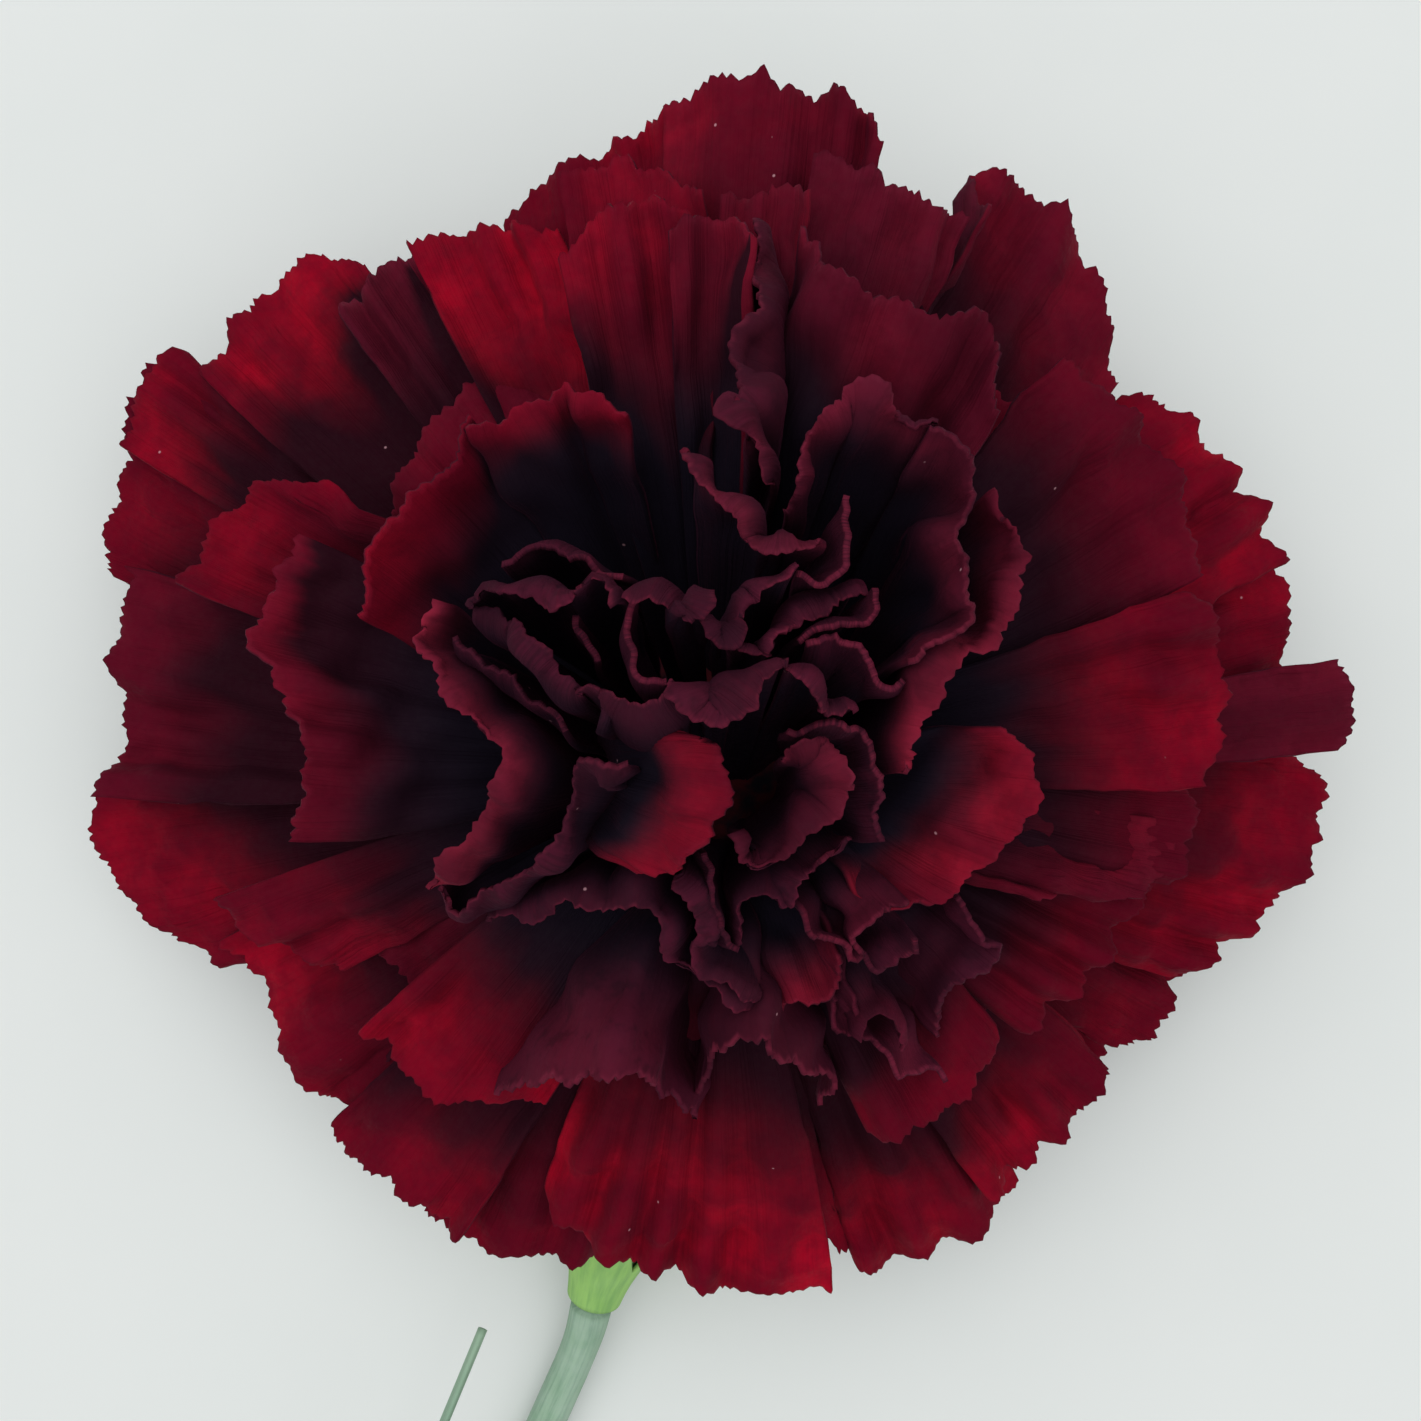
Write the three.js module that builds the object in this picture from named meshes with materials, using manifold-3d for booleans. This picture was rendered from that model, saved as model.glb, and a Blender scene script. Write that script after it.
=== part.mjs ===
// A cut standard carnation that lies on a flat surface: one double bloom, its calyx with the small
// bracts at its foot, a short stem with two leaf nodes, and four narrow leaves.
// Millimetres, +Z up. The surface is z = 0. The stem lies along -Y and the bloom faces up.

import * as THREE from 'three';
import { mergeVertices } from 'three/addons/utils/BufferGeometryUtils.js';
import Module from 'manifold-3d';

// Driving dimensions
const EYE_HEIGHT = 118; // the petal edges below are laid out as seen from this high above the surface
const PLAN_HEIGHT = 18; // and at the true scale of this height
const CALYX_BASE = new THREE.Vector3(-7.9, -39.6, 3.9);
const CALYX_LENGTH = 34;
const CALYX_RISE = 19; // degrees above the surface
const CALYX_BEARING = 15; // degrees from +Y towards +X
const NECK_RISE = 45; // the bundle of claws bends up out of the calyx in this direction
const BLOOM_RISE = 70; // and the bloom faces this way
const SEAT_GAP = 0.3; // between pieces that touch on the flower
const WELD = 0.001; // corners closer than this are one
const ORIGIN_SHIFT = new THREE.Vector3(23.9, 80.9, 0); // the middle of the whole lies over the origin

const PETAL_BLADE = 0.6;
const CLAW_HALF_WIDTH = 1.2;
const PULL = 0.42; // how straight a petal runs up to its edge, as a share of its length
const UPRIGHT_PULL = 0.18; // added to that where the slope passes from UPRIGHT_FROM to UPRIGHT_TO degrees
const UPRIGHT_FROM = 30;
const UPRIGHT_TO = 70;
const FULLNESS = 0.55; // how soon a petal reaches its full width: 0 is a plain fan
const STEADY_REACH = 16; // petals that reach out less than this keep one direction all across
const OUTNESS = 0.5; // the most that a claw stands off the middle, as a share of the way to the edge
const ROLL_FROM = 0.7; // a rolled rim starts here, as a share of the petal's length
const ROLL_DROP = 0.25; // how far it drops, as a share of how far it rolls
const ROLL_FADE = 0.7; // how much of the roll is lost at both ends of the edge
const UNEVEN_FOLDS = 0.3; // how far the folds of a petal stray from an even spacing
const UNEVEN_TURN = 2.3;
const TOOTH = 0.75; // how far the cut petal edge stands out at a tooth
const NOTCH = 0.56; // and in at a notch
const TOOTH_LEAST = 0.65; // the smallest tooth, as a share of TOOTH
const TOOTH_SPREAD = 0.7; // and the spread of their sizes
const TOOTH_ROOT = 0.94; // teeth follow the run of the petal from here to its edge
const ROW_POWER = 0.78; // spaces the rows of corners along a petal
const SAMPLE_STEP = 0.02; // between the places that a normal is taken from

const HEART_SIDES = 10;
const HEART = [[6, 7.2], [9, 7.4], [12, 5.6], [14, 2.6]]; // [distance from the mouth, radius]
const MOUTH_RING = [1.5, 5.1]; // the same, where the bundle leaves the calyx
const CLAW_STOPS = [7, 12, 18, 25]; // rings of the bundle inside the calyx
const CLAW_GAP = 0.45; // between the bundle and the calyx wall

const CALYX_WALL = 0.9;
const CALYX_FLOOR = 3;
const CALYX_SIDES = 30;
const CALYX_FOOT = { radius: 1.3, rise: 1.2 };
const CALYX_LEAST_RADIUS = 1.3;
const CALYX_SWELLINGS = [{ by: 0.7, from: -1, to: 5 }, { by: 3.8, from: 2, to: 17 }, { by: 0.6, from: 15, to: 30 }];
const LOBE_STOPS = [0, 0.25, 0.5, 0.75, 1];
const LOBE_POINT = 1.3; // how pointed the lobes of the calyx and the bracts are
const FLARE_LENGTH = 4;

const STEM_RADIUS = 1.25;
const STEM_TAPER = 0.5; // added to the radius by the cut end
const RECEPTACLE = { by: 0.15, reach: 0.03 }; // the stem widens under the calyx
const STEM_STEPS = 30;
const STEM_SIDES = 10;
const CUT_SLANT = 0.7;
const NODE_SWELLING = 0.85;
const NODE_PLACES = [0.33, 0.72]; // along the stem, from the calyx
const NODE_REACH = 0.018;
const NODE_STOPS = [-2, -1, -0.4, 0.4, 1, 2]; // rings round a node, in reaches
const NODE_CLEARANCE = 2.6; // other rings keep this far from it, in reaches

const LEAF_BLADE = 0.7;
const LEAF_ROWS = 15;
const LEAF_COLUMNS = 4;
const LEAF_TAPER_FROM = 0.3; // a leaf narrows from here to its tip
const LEAF_TAPER_POWER = 1.2;
const LEAF_TIP = 0.05; // width at the tip, as a share of the leaf's width
const CLASP_AT_NODE = 1.35; // how far the leaf curves round the stem, in radians
const CLASP_BEYOND = 0.55;
const CLASP_REACH = 0.2;

const UP = new THREE.Vector3(0, 0, 1);
const CALYX_DIRECTION = direction(CALYX_RISE, CALYX_BEARING);
const NECK_DIRECTION = direction(NECK_RISE, 0);
const BLOOM_DIRECTION = direction(BLOOM_RISE, 0);
const MOUTH = CALYX_BASE.clone().addScaledVector(CALYX_DIRECTION, CALYX_LENGTH);

const PETAL_RED = 0x7c0a1c;
const CALYX_GREEN = 0x86b47f;
const BRACT_GREEN = 0x8fbf66;
const STEM_GREEN = 0x93b29c;
const LEAF_GREEN = 0x86a893;

function direction(rise, bearing) {
  const up = THREE.MathUtils.degToRad(rise);
  const turn = THREE.MathUtils.degToRad(bearing);
  return new THREE.Vector3(Math.cos(up) * Math.sin(turn), Math.cos(up) * Math.cos(turn), Math.sin(up));
}

// A repeatable value from 0 to 1
function seeded(number) {
  const wave = Math.sin(number * 12.9898 + 4.137) * 43758.5453;
  return wave - Math.floor(wave);
}

function smooth(from, to, value) {
  return THREE.MathUtils.smoothstep(value, from, to);
}

// The petals. Each has: lift, how far it climbs before it bends outwards; slope, the angle in
// degrees at which it leaves its edge; wave, the depth of its folds; folds, their number; edge,
// the line of its outer edge as [x, y, height], laid out as EYE_HEIGHT says; and where given curl,
// how far its rim rolls to the left of that line, or to the right if below 0, and the place [x, y]
// of its claw.
const GUARD_PETALS = [
  // under the bloom, every other one on the surface
  [5, 2, 0.3, 2, [[-10, 24, -5], [-3, 27.5, -5], [5, 28, -5], [13, 24, -5]]],
  [5, -14, 0.4, 2, [[8, 27, 5], [16, 24.5, 4], [23, 19, 4], [27.5, 11, 5]]],
  [6, 2, 0.4, 2, [[23, 15.5, -5], [28, 9, -5], [29.8, 0, -5], [28, -7, -5]]],
  [5, -16, 0.4, 2, [[31, -2, 5], [30.5, -10, 4], [25.5, -17.5, 4], [19, -23, 5]]],
  [7, -16, 0.3, 2, [[20, -22, 6], [16, -26, 6], [11, -28.5, 7]]],
  [10, -16, 0.4, 2, [[-18.5, -22.5, 6], [-22.5, -18.5, 5], [-27.5, -12.5, 5], [-29.5, -5, 5]]],
  [7, 2, 0.4, 2, [[-27.5, -9, -5], [-30, -1, -5], [-28.5, 8, -5], [-23.5, 14, -5]]],
  [5, -14, 0.4, 2, [[-28.5, 11, 5], [-25, 19, 4], [-18, 23.5, 4], [-9.5, 26, 5]]],
];
const OUTER_PETALS = [
  // far side, then clockwise
  [10, -7, 0.5, 3, [[-2.9, 35.4, 24], [0.8, 37, 25], [4.6, 36.6, 25], [8, 36.2, 25], [10.2, 33.6, 26]]],
  [12, -6, 0.4, 3, [[6.2, 32.6, 29], [10.5, 31, 28], [13, 29.8, 28], [15, 29, 27]]],
  [10, -17, 0.6, 3, [[15.2, 29.5, 26], [17, 31.6, 22], [21.2, 28.4, 21], [22.9, 24.6, 20], [23.9, 19, 20]]],
  [8, -24, 0.6, 3, [[24.2, 18.4, 16], [29.3, 16.2, 16], [32.2, 11.8, 16], [33, 8.6, 15]]],
  [8, -21, 0.2, 2, [[32, 9.4, 13], [33.9, 7, 13], [33.4, 2, 12]]],
  [9, -14, 0.2, 1, [[36.8, 2.9, 16], [37.7, 0.6, 15], [37, -2.3, 15]]],
  [7, -24, 0.6, 3, [[34.8, -2.5, 10], [36.2, -4, 10], [35.7, -7.2, 10], [32.6, -12.2, 10], [27.2, -15.8, 11]]],
  [6, -27, 0.3, 2, [[27, -15.2, 8], [26.3, -19.5, 8], [22.4, -18.9, 9]]],
  [8, -26, 0.5, 3, [[21.9, -19.2, 14], [22.9, -22, 13], [20, -25.1, 13], [16.6, -29, 13]]],
  [8, -30, 0.6, 3, [[18.4, -28, 10], [13.8, -31.4, 10], [9.8, -33, 10], [8.4, -32.4, 11], [6.4, -29.8, 12]]],
  [11, -32, 0.7, 4, [[-10, -28.6, 18], [-5.5, -32, 18], [0, -34, 17], [4, -33.8, 17], [7.1, -34.6, 17]]],
  [9, -30, 0.5, 3, [[-4.4, -31.7, 15], [-9, -32, 14], [-13.2, -31.7, 14], [-17, -29.6, 13]]],
  [9, -27, 0.5, 2, [[-14.6, -31, 16], [-18.6, -27.6, 15], [-21.9, -25.9, 14], [-22.2, -24.2, 14]]],
  [8, -26, 0.6, 3, [[-19.6, -21.8, 13], [-20.8, -23, 13], [-23.4, -22.8, 13], [-24.8, -20, 13], [-26.4, -16.4, 13],
    [-29, -13.6, 13]]],
  [7, -25, 0.5, 3, [[-28, -14.6, 10], [-32.2, -12.8, 10], [-35.8, -9, 10], [-36.3, -6.4, 10], [-35, -5, 10]]],
  [9, -20, 0.4, 3, [[-36.2, -5, 14], [-34.6, -1.5, 13], [-34.8, 3.6, 13], [-34.4, 8.4, 14]]],
  [8, -19, 0.5, 3, [[-34.6, 8, 10], [-35.8, 10.6, 10], [-34.2, 14.8, 11], [-33.9, 18, 11], [-31.6, 21, 12]]],
  [9, -21, 0.45, 2, [[-29.6, 19.6, 14], [-27.3, 23.4, 14], [-24, 26.3, 15], [-20.2, 26, 16]]],
  [11, -12, 0.4, 2, [[-21.8, 23.4, 21], [-20, 25.6, 21], [-17, 27.2, 21]]],
  [12, -14, 0.4, 2, [[-17.8, 27.4, 23], [-15.4, 28.2, 23], [-12.2, 28.4, 24], [-9, 28.2, 26]]],
  [9, -11, 0.5, 3, [[-12.4, 28.8, 19], [-9.2, 31.6, 20], [-5.4, 33.4, 21], [-1.8, 35.6, 22]]],
];
const MIDDLE_PETALS = [
  [7, -6, 0.4, 2, [[-8.9, 26.4, 32], [-6.4, 29, 32], [-3, 30.2, 32], [-1.2, 28.2, 33]]],
  [7, 4, 0.3, 2, [[-2.4, 28.2, 34], [0.4, 29.2, 34], [2.6, 28.2, 35]]],
  [7, 18, 0.5, 2, [[5.2, 28.2, 34], [8, 25.4, 36], [12.6, 23.6, 36], [16.4, 23, 35], [17.2, 17.6, 35]]],
  [7, -22, 0.5, 2, [[21, 20.6, 30], [25.2, 16.4, 27], [28.2, 13.2, 26], [28.4, 7.8, 26]]],
  [7, -25, 0.5, 2, [[28, 7, 28], [30, 3.6, 27], [30.4, -0.6, 26], [28.8, -4.4, 26]]],
  [7, -25, 0.4, 2, [[27.6, -3.6, 24], [28.3, -6.4, 24], [27, -10.2, 24]]],
  [7, -25, 0.6, 3, [[27.2, -9.4, 21], [24.4, -12.6, 22], [21.8, -16, 22], [18, -18.6, 22]]],
  [7, -22, 0.5, 2, [[17, -18.8, 24], [14.6, -23.2, 24], [9.4, -25, 24]]],
  [7, 30, 0.3, 3, [[-12.4, -22.6, 24], [-9, -21.4, 31], [-6, -21.4, 33], [-2.6, -22.2, 29], [-0.9, -23.8, 23],
    [0.3, -20.6, 29], [3, -19.4, 33], [5.4, -20.6, 31], [7.2, -23, 23]]],
  [7, -23, 0.5, 2, [[-10, -23.6, 23], [-15.4, -22.4, 22], [-20.6, -18.8, 22]]],
  [7, -22, 0.4, 2, [[-21.4, -15.4, 20], [-27, -13.4, 20], [-28.6, -10.8, 20]]],
  [7, 22, 0.5, 3, [[-24.8, -7.8, 30], [-23.9, -3, 30], [-25.4, 1.6, 30], [-26.8, 4.6, 30], [-24.2, 10.4, 30]]],
  [7, -16, 0.5, 2, [[-31, 7.4, 22], [-29.4, 11, 22], [-26, 13.4, 22], [-22.6, 13.6, 24]]],
  [7, 60, 0.4, 2, [[-21, 5.8, 32], [-18.8, 11.2, 34], [-15.3, 14.2, 34], [-14, 17.2, 35]]],
];
const INNER_PETALS = [
  // the cup on the right and the strap round it
  [5, 80, 0.1, 2, [[4.2, 11.8, 39], [5.1, 13.6, 40], [5.5, 16.2, 41], [7.7, 18.9, 42], [9.6, 18.9, 42],
    [11.4, 17.3, 41], [13.4, 16.9, 41]], 1.1],
  [5, 72, 0.1, 2, [[12.8, 16.4, 41], [15, 15.4, 41], [15.6, 13, 40], [14.5, 10.6, 40], [15.5, 7.6, 40],
    [15.4, 5.6, 40], [11.6, 2.9, 40]], 0.8],
  [5, 82, 0.1, 2, [[16.5, 12.8, 35], [18.2, 10.4, 36], [18.5, 7.2, 37], [16.6, 4.2, 38], [14, 2.4, 39],
    [12.8, -0.6, 39], [11.6, -3.8, 38]], 1.5],
  // the two curled bands above the middle
  [5, 82, 0.1, 2, [[-1.4, 15.6, 40], [-0.9, 13.6, 41], [1.5, 11.6, 42], [2.2, 10, 42], [3.6, 8.9, 42],
    [5.4, 9.1, 42], [6.6, 10.2, 41]], -1.2],
  [5, 82, 0.1, 1, [[7.9, 12.6, 40], [8.1, 10.2, 41], [7.6, 8.3, 41], [6.4, 7.5, 41], [5, 8, 41]], 0.6],
  [7, 82, 0.1, 2, [[2.6, 28.6, 33], [2.3, 24.5, 36], [1.6, 20.6, 38], [2, 18.8, 39], [0.8, 17.9, 40],
    [1.8, 16, 40], [3.4, 13.2, 39]], -2.1],
  // the hollow on the left and the petals that lean over it
  [5, 82, 0.1, 2, [[-14.4, 6.2, 38], [-13.2, 7.2, 39], [-11.2, 6.7, 40], [-9.8, 6.3, 40], [-8.4, 6.4, 41],
    [-6.9, 7.3, 41], [-5.5, 6.2, 41]], -1.2],
  [5, 82, 0.1, 2, [[-7.4, 1.1, 40], [-8.8, 2.2, 40], [-10.3, 4, 40], [-11.2, 5.5, 39], [-13.8, 6.1, 37]], -1.2],
  [5, 82, 0.1, 2, [[-8, 1.1, 40], [-6.7, 1.4, 41], [-5.4, 0.5, 41], [-4.2, 0.1, 41], [-2.2, 0.8, 41]], 1.3],
  [5, 84, 0.1, 1, [[-5, 6.6, 41], [-4.5, 4.8, 41], [-3.9, 2.6, 41], [-2.5, 1.9, 41]], 0.6],
  [5, 84, 0.1, 1, [[-8, 5.6, 39], [-7.7, 4.4, 39], [-7.2, 2.8, 39]], 0.3],
  // the small petals of the middle
  [5, 80, 0.1, 2, [[-5, 6.9, 42], [-3.9, 6.3, 42], [-2.7, 5.5, 42], [-1.4, 4.8, 43], [-0.5, 5.6, 43],
    [-0.2, 7, 43]], -1.8],
  [5, 80, 0.1, 2, [[-0.2, 5.6, 42], [0.2, 4.4, 42], [1, 4, 42], [2, 4.8, 42], [2.1, 5.9, 42], [3.1, 6.5, 42],
    [5, 8.6, 42]], -1.4],
  [5, 80, 0.1, 2, [[0.8, 4, 41], [2.4, 3.3, 41], [3.6, 3, 41], [4.4, 4, 41], [5.6, 5.4, 40], [9.1, 7.1, 39]], -1.4],
  [5, 80, 0.1, 1, [[9.6, 7.2, 40], [9.5, 5.7, 40], [8, 4.8, 40], [5.2, 4.1, 40]], 0.8],
  [5, 80, 0.1, 1, [[5.6, 3.9, 40], [7.4, 4.4, 40], [8.7, 3.8, 40], [9.6, 1.8, 40], [11.2, 2.1, 39]], 0.6],
  [5, 78, 0.1, 2, [[-2.4, 1.8, 42], [-1.4, 0.2, 43], [-0.4, -0.6, 43], [0.9, -0.9, 43], [2.7, 0.9, 43],
    [4.7, 2.5, 43]], -2.4],
  [5, 80, 0.1, 1, [[4.4, 2.4, 42], [5.4, 1.5, 42], [6.6, 0.2, 41], [8.6, 0, 40]], -1],
  [5, 25, 0.2, 2, [[-1.8, -1.2, 40], [0.2, -2, 41], [1.2, -3.8, 41], [0.9, -5.6, 41], [-0.2, -7.2, 40],
    [-1.2, -8.8, 39], [-2.6, -9.8, 38], [-4.4, -9.4, 36]], 0, [-5.5, -4.5]],
  [5, 82, 0.1, 2, [[4.3, -3, 39], [5.2, -1.8, 40], [6.8, -1.3, 40], [8, -3.4, 40], [7.5, -5.8, 39],
    [5.4, -7.6, 39], [3, -9.4, 38], [1.5, -8.8, 38], [1.3, -7.2, 38]], 1.2],
  [5, 82, 0.1, 2, [[4.6, -0.6, 39], [7.4, -0.7, 40], [9, -1.8, 39], [9.9, -4, 38], [9.8, -7.8, 36]], 0.6],
  // the left rim and the bands below the middle
  [5, 82, 0.1, 2, [[-16.8, -10.2, 34], [-15, -8, 36], [-13.2, -5.6, 37], [-12.4, -4, 38], [-12.8, -2.4, 38],
    [-15.6, 1, 37], [-17, 3.8, 36], [-16.2, 6.4, 35]], 1.3],
  [5, 82, 0.1, 2, [[-16, -10.4, 32], [-15, -11.8, 32], [-11.8, -9.8, 35], [-9.6, -8, 37], [-8.3, -5.6, 38],
    [-7.8, -3.6, 39], [-6.6, -2.5, 40], [-4.8, -3.2, 40]], 0.9],
  [5, 82, 0.1, 2, [[2.8, -17.5, 31], [-0.6, -15.9, 33], [-2.4, -14.8, 34], [-3.4, -12.6, 35], [-4.4, -11.4, 35],
    [-6.4, -11.6, 35], [-8.2, -11.1, 34], [-10, -12.3, 33], [-13.4, -12.2, 30]], 1.2],
  [5, 82, 0.1, 2, [[2.6, -17, 32], [-0.2, -15.4, 34], [-1.1, -14, 35], [-0.9, -12.8, 35], [-2.1, -9.7, 36]], 1.2],
  [5, 84, 0.1, 1, [[-0.4, -8.4, 36], [0, -10.3, 36], [0.6, -12, 35], [1.5, -14.2, 34]], 0.5],
  [5, 80, 0.1, 2, [[1.4, -13.9, 33], [2.1, -11.8, 34], [3.2, -11.1, 34], [4.8, -11.5, 34], [5.6, -9.6, 35],
    [8, -7.6, 35]], -0.9],
  // the small petals of the near side, right
  [5, 35, 0.2, 1, [[5.6, -11.6, 34], [6.2, -12.6, 34], [8.8, -14.6, 32], [8.8, -12.9, 33], [11.6, -11.2, 33]]],
  [5, 25, 0.2, 1, [[3.6, -18, 30], [5, -17.1, 31], [7.1, -16.9, 31], [7.8, -15.6, 31], [7.8, -14.4, 32]]],
  [5, 45, 0.2, 1, [[12, -13.4, 32], [11.6, -14.2, 32], [10, -15.1, 31], [8.6, -14.8, 31]]],
  [5, 35, 0.3, 2, [[14.8, -10.8, 30], [15.6, -12.4, 30], [17.2, -14, 29], [16.2, -15.4, 29], [13.6, -17, 28],
    [13, -19, 26]]],
  [5, 50, 0.2, 1, [[7, -17, 29], [8.2, -19.3, 28], [8.7, -17, 29]]],
  [5, 40, 0.2, 2, [[8.8, -19, 26], [10.4, -20.3, 26], [12, -21.1, 25], [13.8, -22, 25]]],
  [5, 45, 0.2, 1, [[11.3, -20, 27], [11, -18.8, 28], [9.9, -18.2, 28], [8.9, -19.2, 27]]],
  [5, 8, 0.3, 2, [[17.2, -1, 33], [19, -3, 33], [19.3, -5.4, 33], [17.7, -7.8, 32], [15, -10, 32], [12.8, -11.6, 32],
    [10.4, -11.4, 33]]],
  // the shaded back of the cup on the left, and two more round the hollow
  [6, 62, 0.3, 2, [[-14.4, 17, 36], [-12, 17.1, 36], [-8.4, 19.2, 36], [-5, 17.4, 37]], 0.9],
  [5, 76, 0.1, 1, [[-12.2, 8.4, 37], [-9.8, 9.6, 38], [-7.4, 9.2, 39], [-5.2, 7.6, 40]], -0.8],
  [5, 76, 0.1, 1, [[-15, 4.4, 36], [-12.8, 2.4, 37], [-10.4, 0.2, 37], [-8.4, -1, 37]], 0.8],
];
const BETWEEN_PETALS = [
  // between the outer and the middle ones: two on the far side, one on the right, one on the left
  [10, -8, 0.4, 2, [[-8.6, 31.4, 26], [-5.8, 32.4, 27], [-2.6, 31.6, 28], [-0.4, 30.2, 29]]],
  [9, -4, 0.3, 2, [[0.6, 29.8, 31], [3.2, 30.4, 31], [5.8, 30.8, 30]]],
  [7, -20, 0.4, 2, [[27.9, -6.6, 25], [27.3, -9.4, 25], [23.6, -10.9, 26], [18.6, -10.9, 27]]],
  [8, -16, 0.4, 2, [[-34.7, 15.6, 13], [-33.8, 18.4, 13], [-31.9, 20.7, 13], [-30.2, 20, 13]]],
];

// The layers: where their petals leave the bundle of claws, how deep their edges are cut, and into how
// many columns each petal is split, row by row from its root to its edge
const LAYERS = [
  { petals: GUARD_PETALS, level: 1, ring: 4.6, teeth: 1, columns: [2, 3, 4, 5] },
  { petals: OUTER_PETALS, level: 3, ring: 5, teeth: 1, columns: [2, 3, 5, 7] },
  { petals: MIDDLE_PETALS, level: 6, ring: 5.2, teeth: 0.8, columns: [2, 3, 5, 7] },
  { petals: INNER_PETALS, level: 9, ring: 6.5, teeth: 0.45, columns: [1, 2, 3, 5] },
  { petals: BETWEEN_PETALS, level: 4.5, ring: 5, teeth: 1, columns: [2, 3, 5, 6] },
];

// A place laid out as EYE_HEIGHT says, as a true place
function seen([x, y, height]) {
  const scale = (EYE_HEIGHT - height) / (EYE_HEIGHT - PLAN_HEIGHT);
  return new THREE.Vector3(x * scale, y * scale, height);
}

// The middle surface of a petal: u runs from -1 to 1 across it and v from 0 at its root to 1 at its edge
function petalSurface([lift, slope, wave, folds, edgePlaces, curl = 0, claw], { level, ring }, seed) {
  const edge = new THREE.CatmullRomCurve3(edgePlaces.map(seen), false, 'catmullrom', 0.5);
  const ends = edge.getPoint(1).sub(edge.getPoint(0));
  const centre = MOUTH.clone().addScaledVector(NECK_DIRECTION, level);
  if (claw) centre.setX(claw[0]).setY(claw[1]);
  const heading = edge.getPointAt(0.5).sub(centre).projectOnPlane(BLOOM_DIRECTION);
  const outness = claw ? 0 : Math.min(ring, heading.length() * OUTNESS);
  heading.normalize();
  const side = new THREE.Vector3().crossVectors(BLOOM_DIRECTION, heading);
  side.multiplyScalar(Math.sign(ends.dot(side)) || 1);
  const base = centre.addScaledVector(heading, outness);
  const forward = edge.getPointAt(0.5).sub(base).setZ(0).normalize();
  const tilt = THREE.MathUtils.degToRad(slope);
  const pull = PULL + UPRIGHT_PULL * smooth(UPRIGHT_FROM, UPRIGHT_TO, slope);
  const lean = Math.min(1, Math.abs(curl));
  const phase = seeded(seed) * 2 * Math.PI;

  function rollAt(u) {
    const along = edge.getTangentAt((u + 1) / 2).setZ(0);
    const roll = new THREE.Vector3().crossVectors(UP, along).normalize();
    roll.multiplyScalar(curl * (1 - ROLL_FADE * u ** 4));
    return roll.addScaledVector(UP, -Math.abs(curl) * ROLL_DROP);
  }

  function plain(u, v) {
    const roll = rollAt(u);
    const tip = edge.getPointAt((u + 1) / 2).sub(roll);
    const root = base.clone().addScaledVector(side, u * CLAW_HALF_WIDTH);
    const shoulder = root.clone().addScaledVector(BLOOM_DIRECTION, lift);
    const out = tip.clone().sub(shoulder).setZ(0);
    const fullness = Math.max(FULLNESS, 1 - out.length() / STEADY_REACH);
    out.normalize().lerp(forward, fullness).normalize();
    out.multiplyScalar(Math.cos(tilt));
    out.z = Math.sin(tilt);
    const neck = tip.clone().addScaledVector(out, -pull * tip.distanceTo(root));
    const share = v + lean * v * v * (1 - v);
    const place = new THREE.CubicBezierCurve3(root, shoulder, neck, tip).getPoint(share);
    return place.addScaledVector(roll, (Math.max(0, v - ROLL_FROM) / (1 - ROLL_FROM)) ** 2);
  }

  function folded(u, v) {
    const place = plain(u, v);
    const uneven = u + UNEVEN_FOLDS * Math.sin(UNEVEN_TURN * u + 2 * phase);
    const depth = wave * v * v * Math.sin(Math.PI * folds * uneven + phase);
    return laid(place.addScaledVector(normalOf(plain, u, v), depth));
  }
  return folded;
}

// A petal that meets the surface lies flat on it
function laid(place) {
  place.z = Math.max(place.z, PETAL_BLADE / 2);
  return place;
}

function normalOf(surface, u, v) {
  const across = surface(Math.min(1, u + SAMPLE_STEP), v).sub(surface(Math.max(-1, u - SAMPLE_STEP), v));
  const along = surface(u, Math.min(1, v + SAMPLE_STEP)).sub(surface(u, Math.max(0, v - SAMPLE_STEP)));
  return across.cross(along).normalize();
}

// How far the cut edge stands out at each column
function tooth(seed, column) {
  const reach = column % 2 === 1 ? TOOTH : -NOTCH;
  return reach * (TOOTH_LEAST + TOOTH_SPREAD * seeded(seed * 31 + column));
}

function petal(shape, layer, seed) {
  const surface = petalSurface(shape, layer, seed);
  const last = layer.columns.length - 1;
  const rows = layer.columns.map((columns, row) => {
    const v = (row / last) ** ROW_POWER;
    return Array.from({ length: columns + 1 }, (_, column) => {
      const u = -1 + (2 * column) / columns;
      const place = surface(u, v);
      const normal = normalOf(surface, u, v);
      if (place.z <= PETAL_BLADE / 2) normal.set(0, 0, Math.sign(normal.z));
      if (row === last) {
        const out = surface(u, 1).sub(surface(u, TOOTH_ROOT)).normalize();
        place.addScaledVector(out, layer.teeth * tooth(seed, column));
      }
      return { place, normal };
    });
  });
  return blade(rows, PETAL_BLADE);
}

// The triangles between two rows of vertices, each given by its first vertex and its columns
function strip(lower, lowerColumns, upper, upperColumns) {
  const faces = [];
  let low = 0;
  let high = 0;
  while (low < lowerColumns || high < upperColumns) {
    const lowFirst = (low + 1) / lowerColumns <= (high + 1) / upperColumns;
    if (high === upperColumns || (low < lowerColumns && lowFirst)) {
      faces.push([lower + low, lower + low + 1, upper + high]);
      low += 1;
    } else {
      faces.push([lower + low, upper + high + 1, upper + high]);
      high += 1;
    }
  }
  return faces;
}

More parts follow.
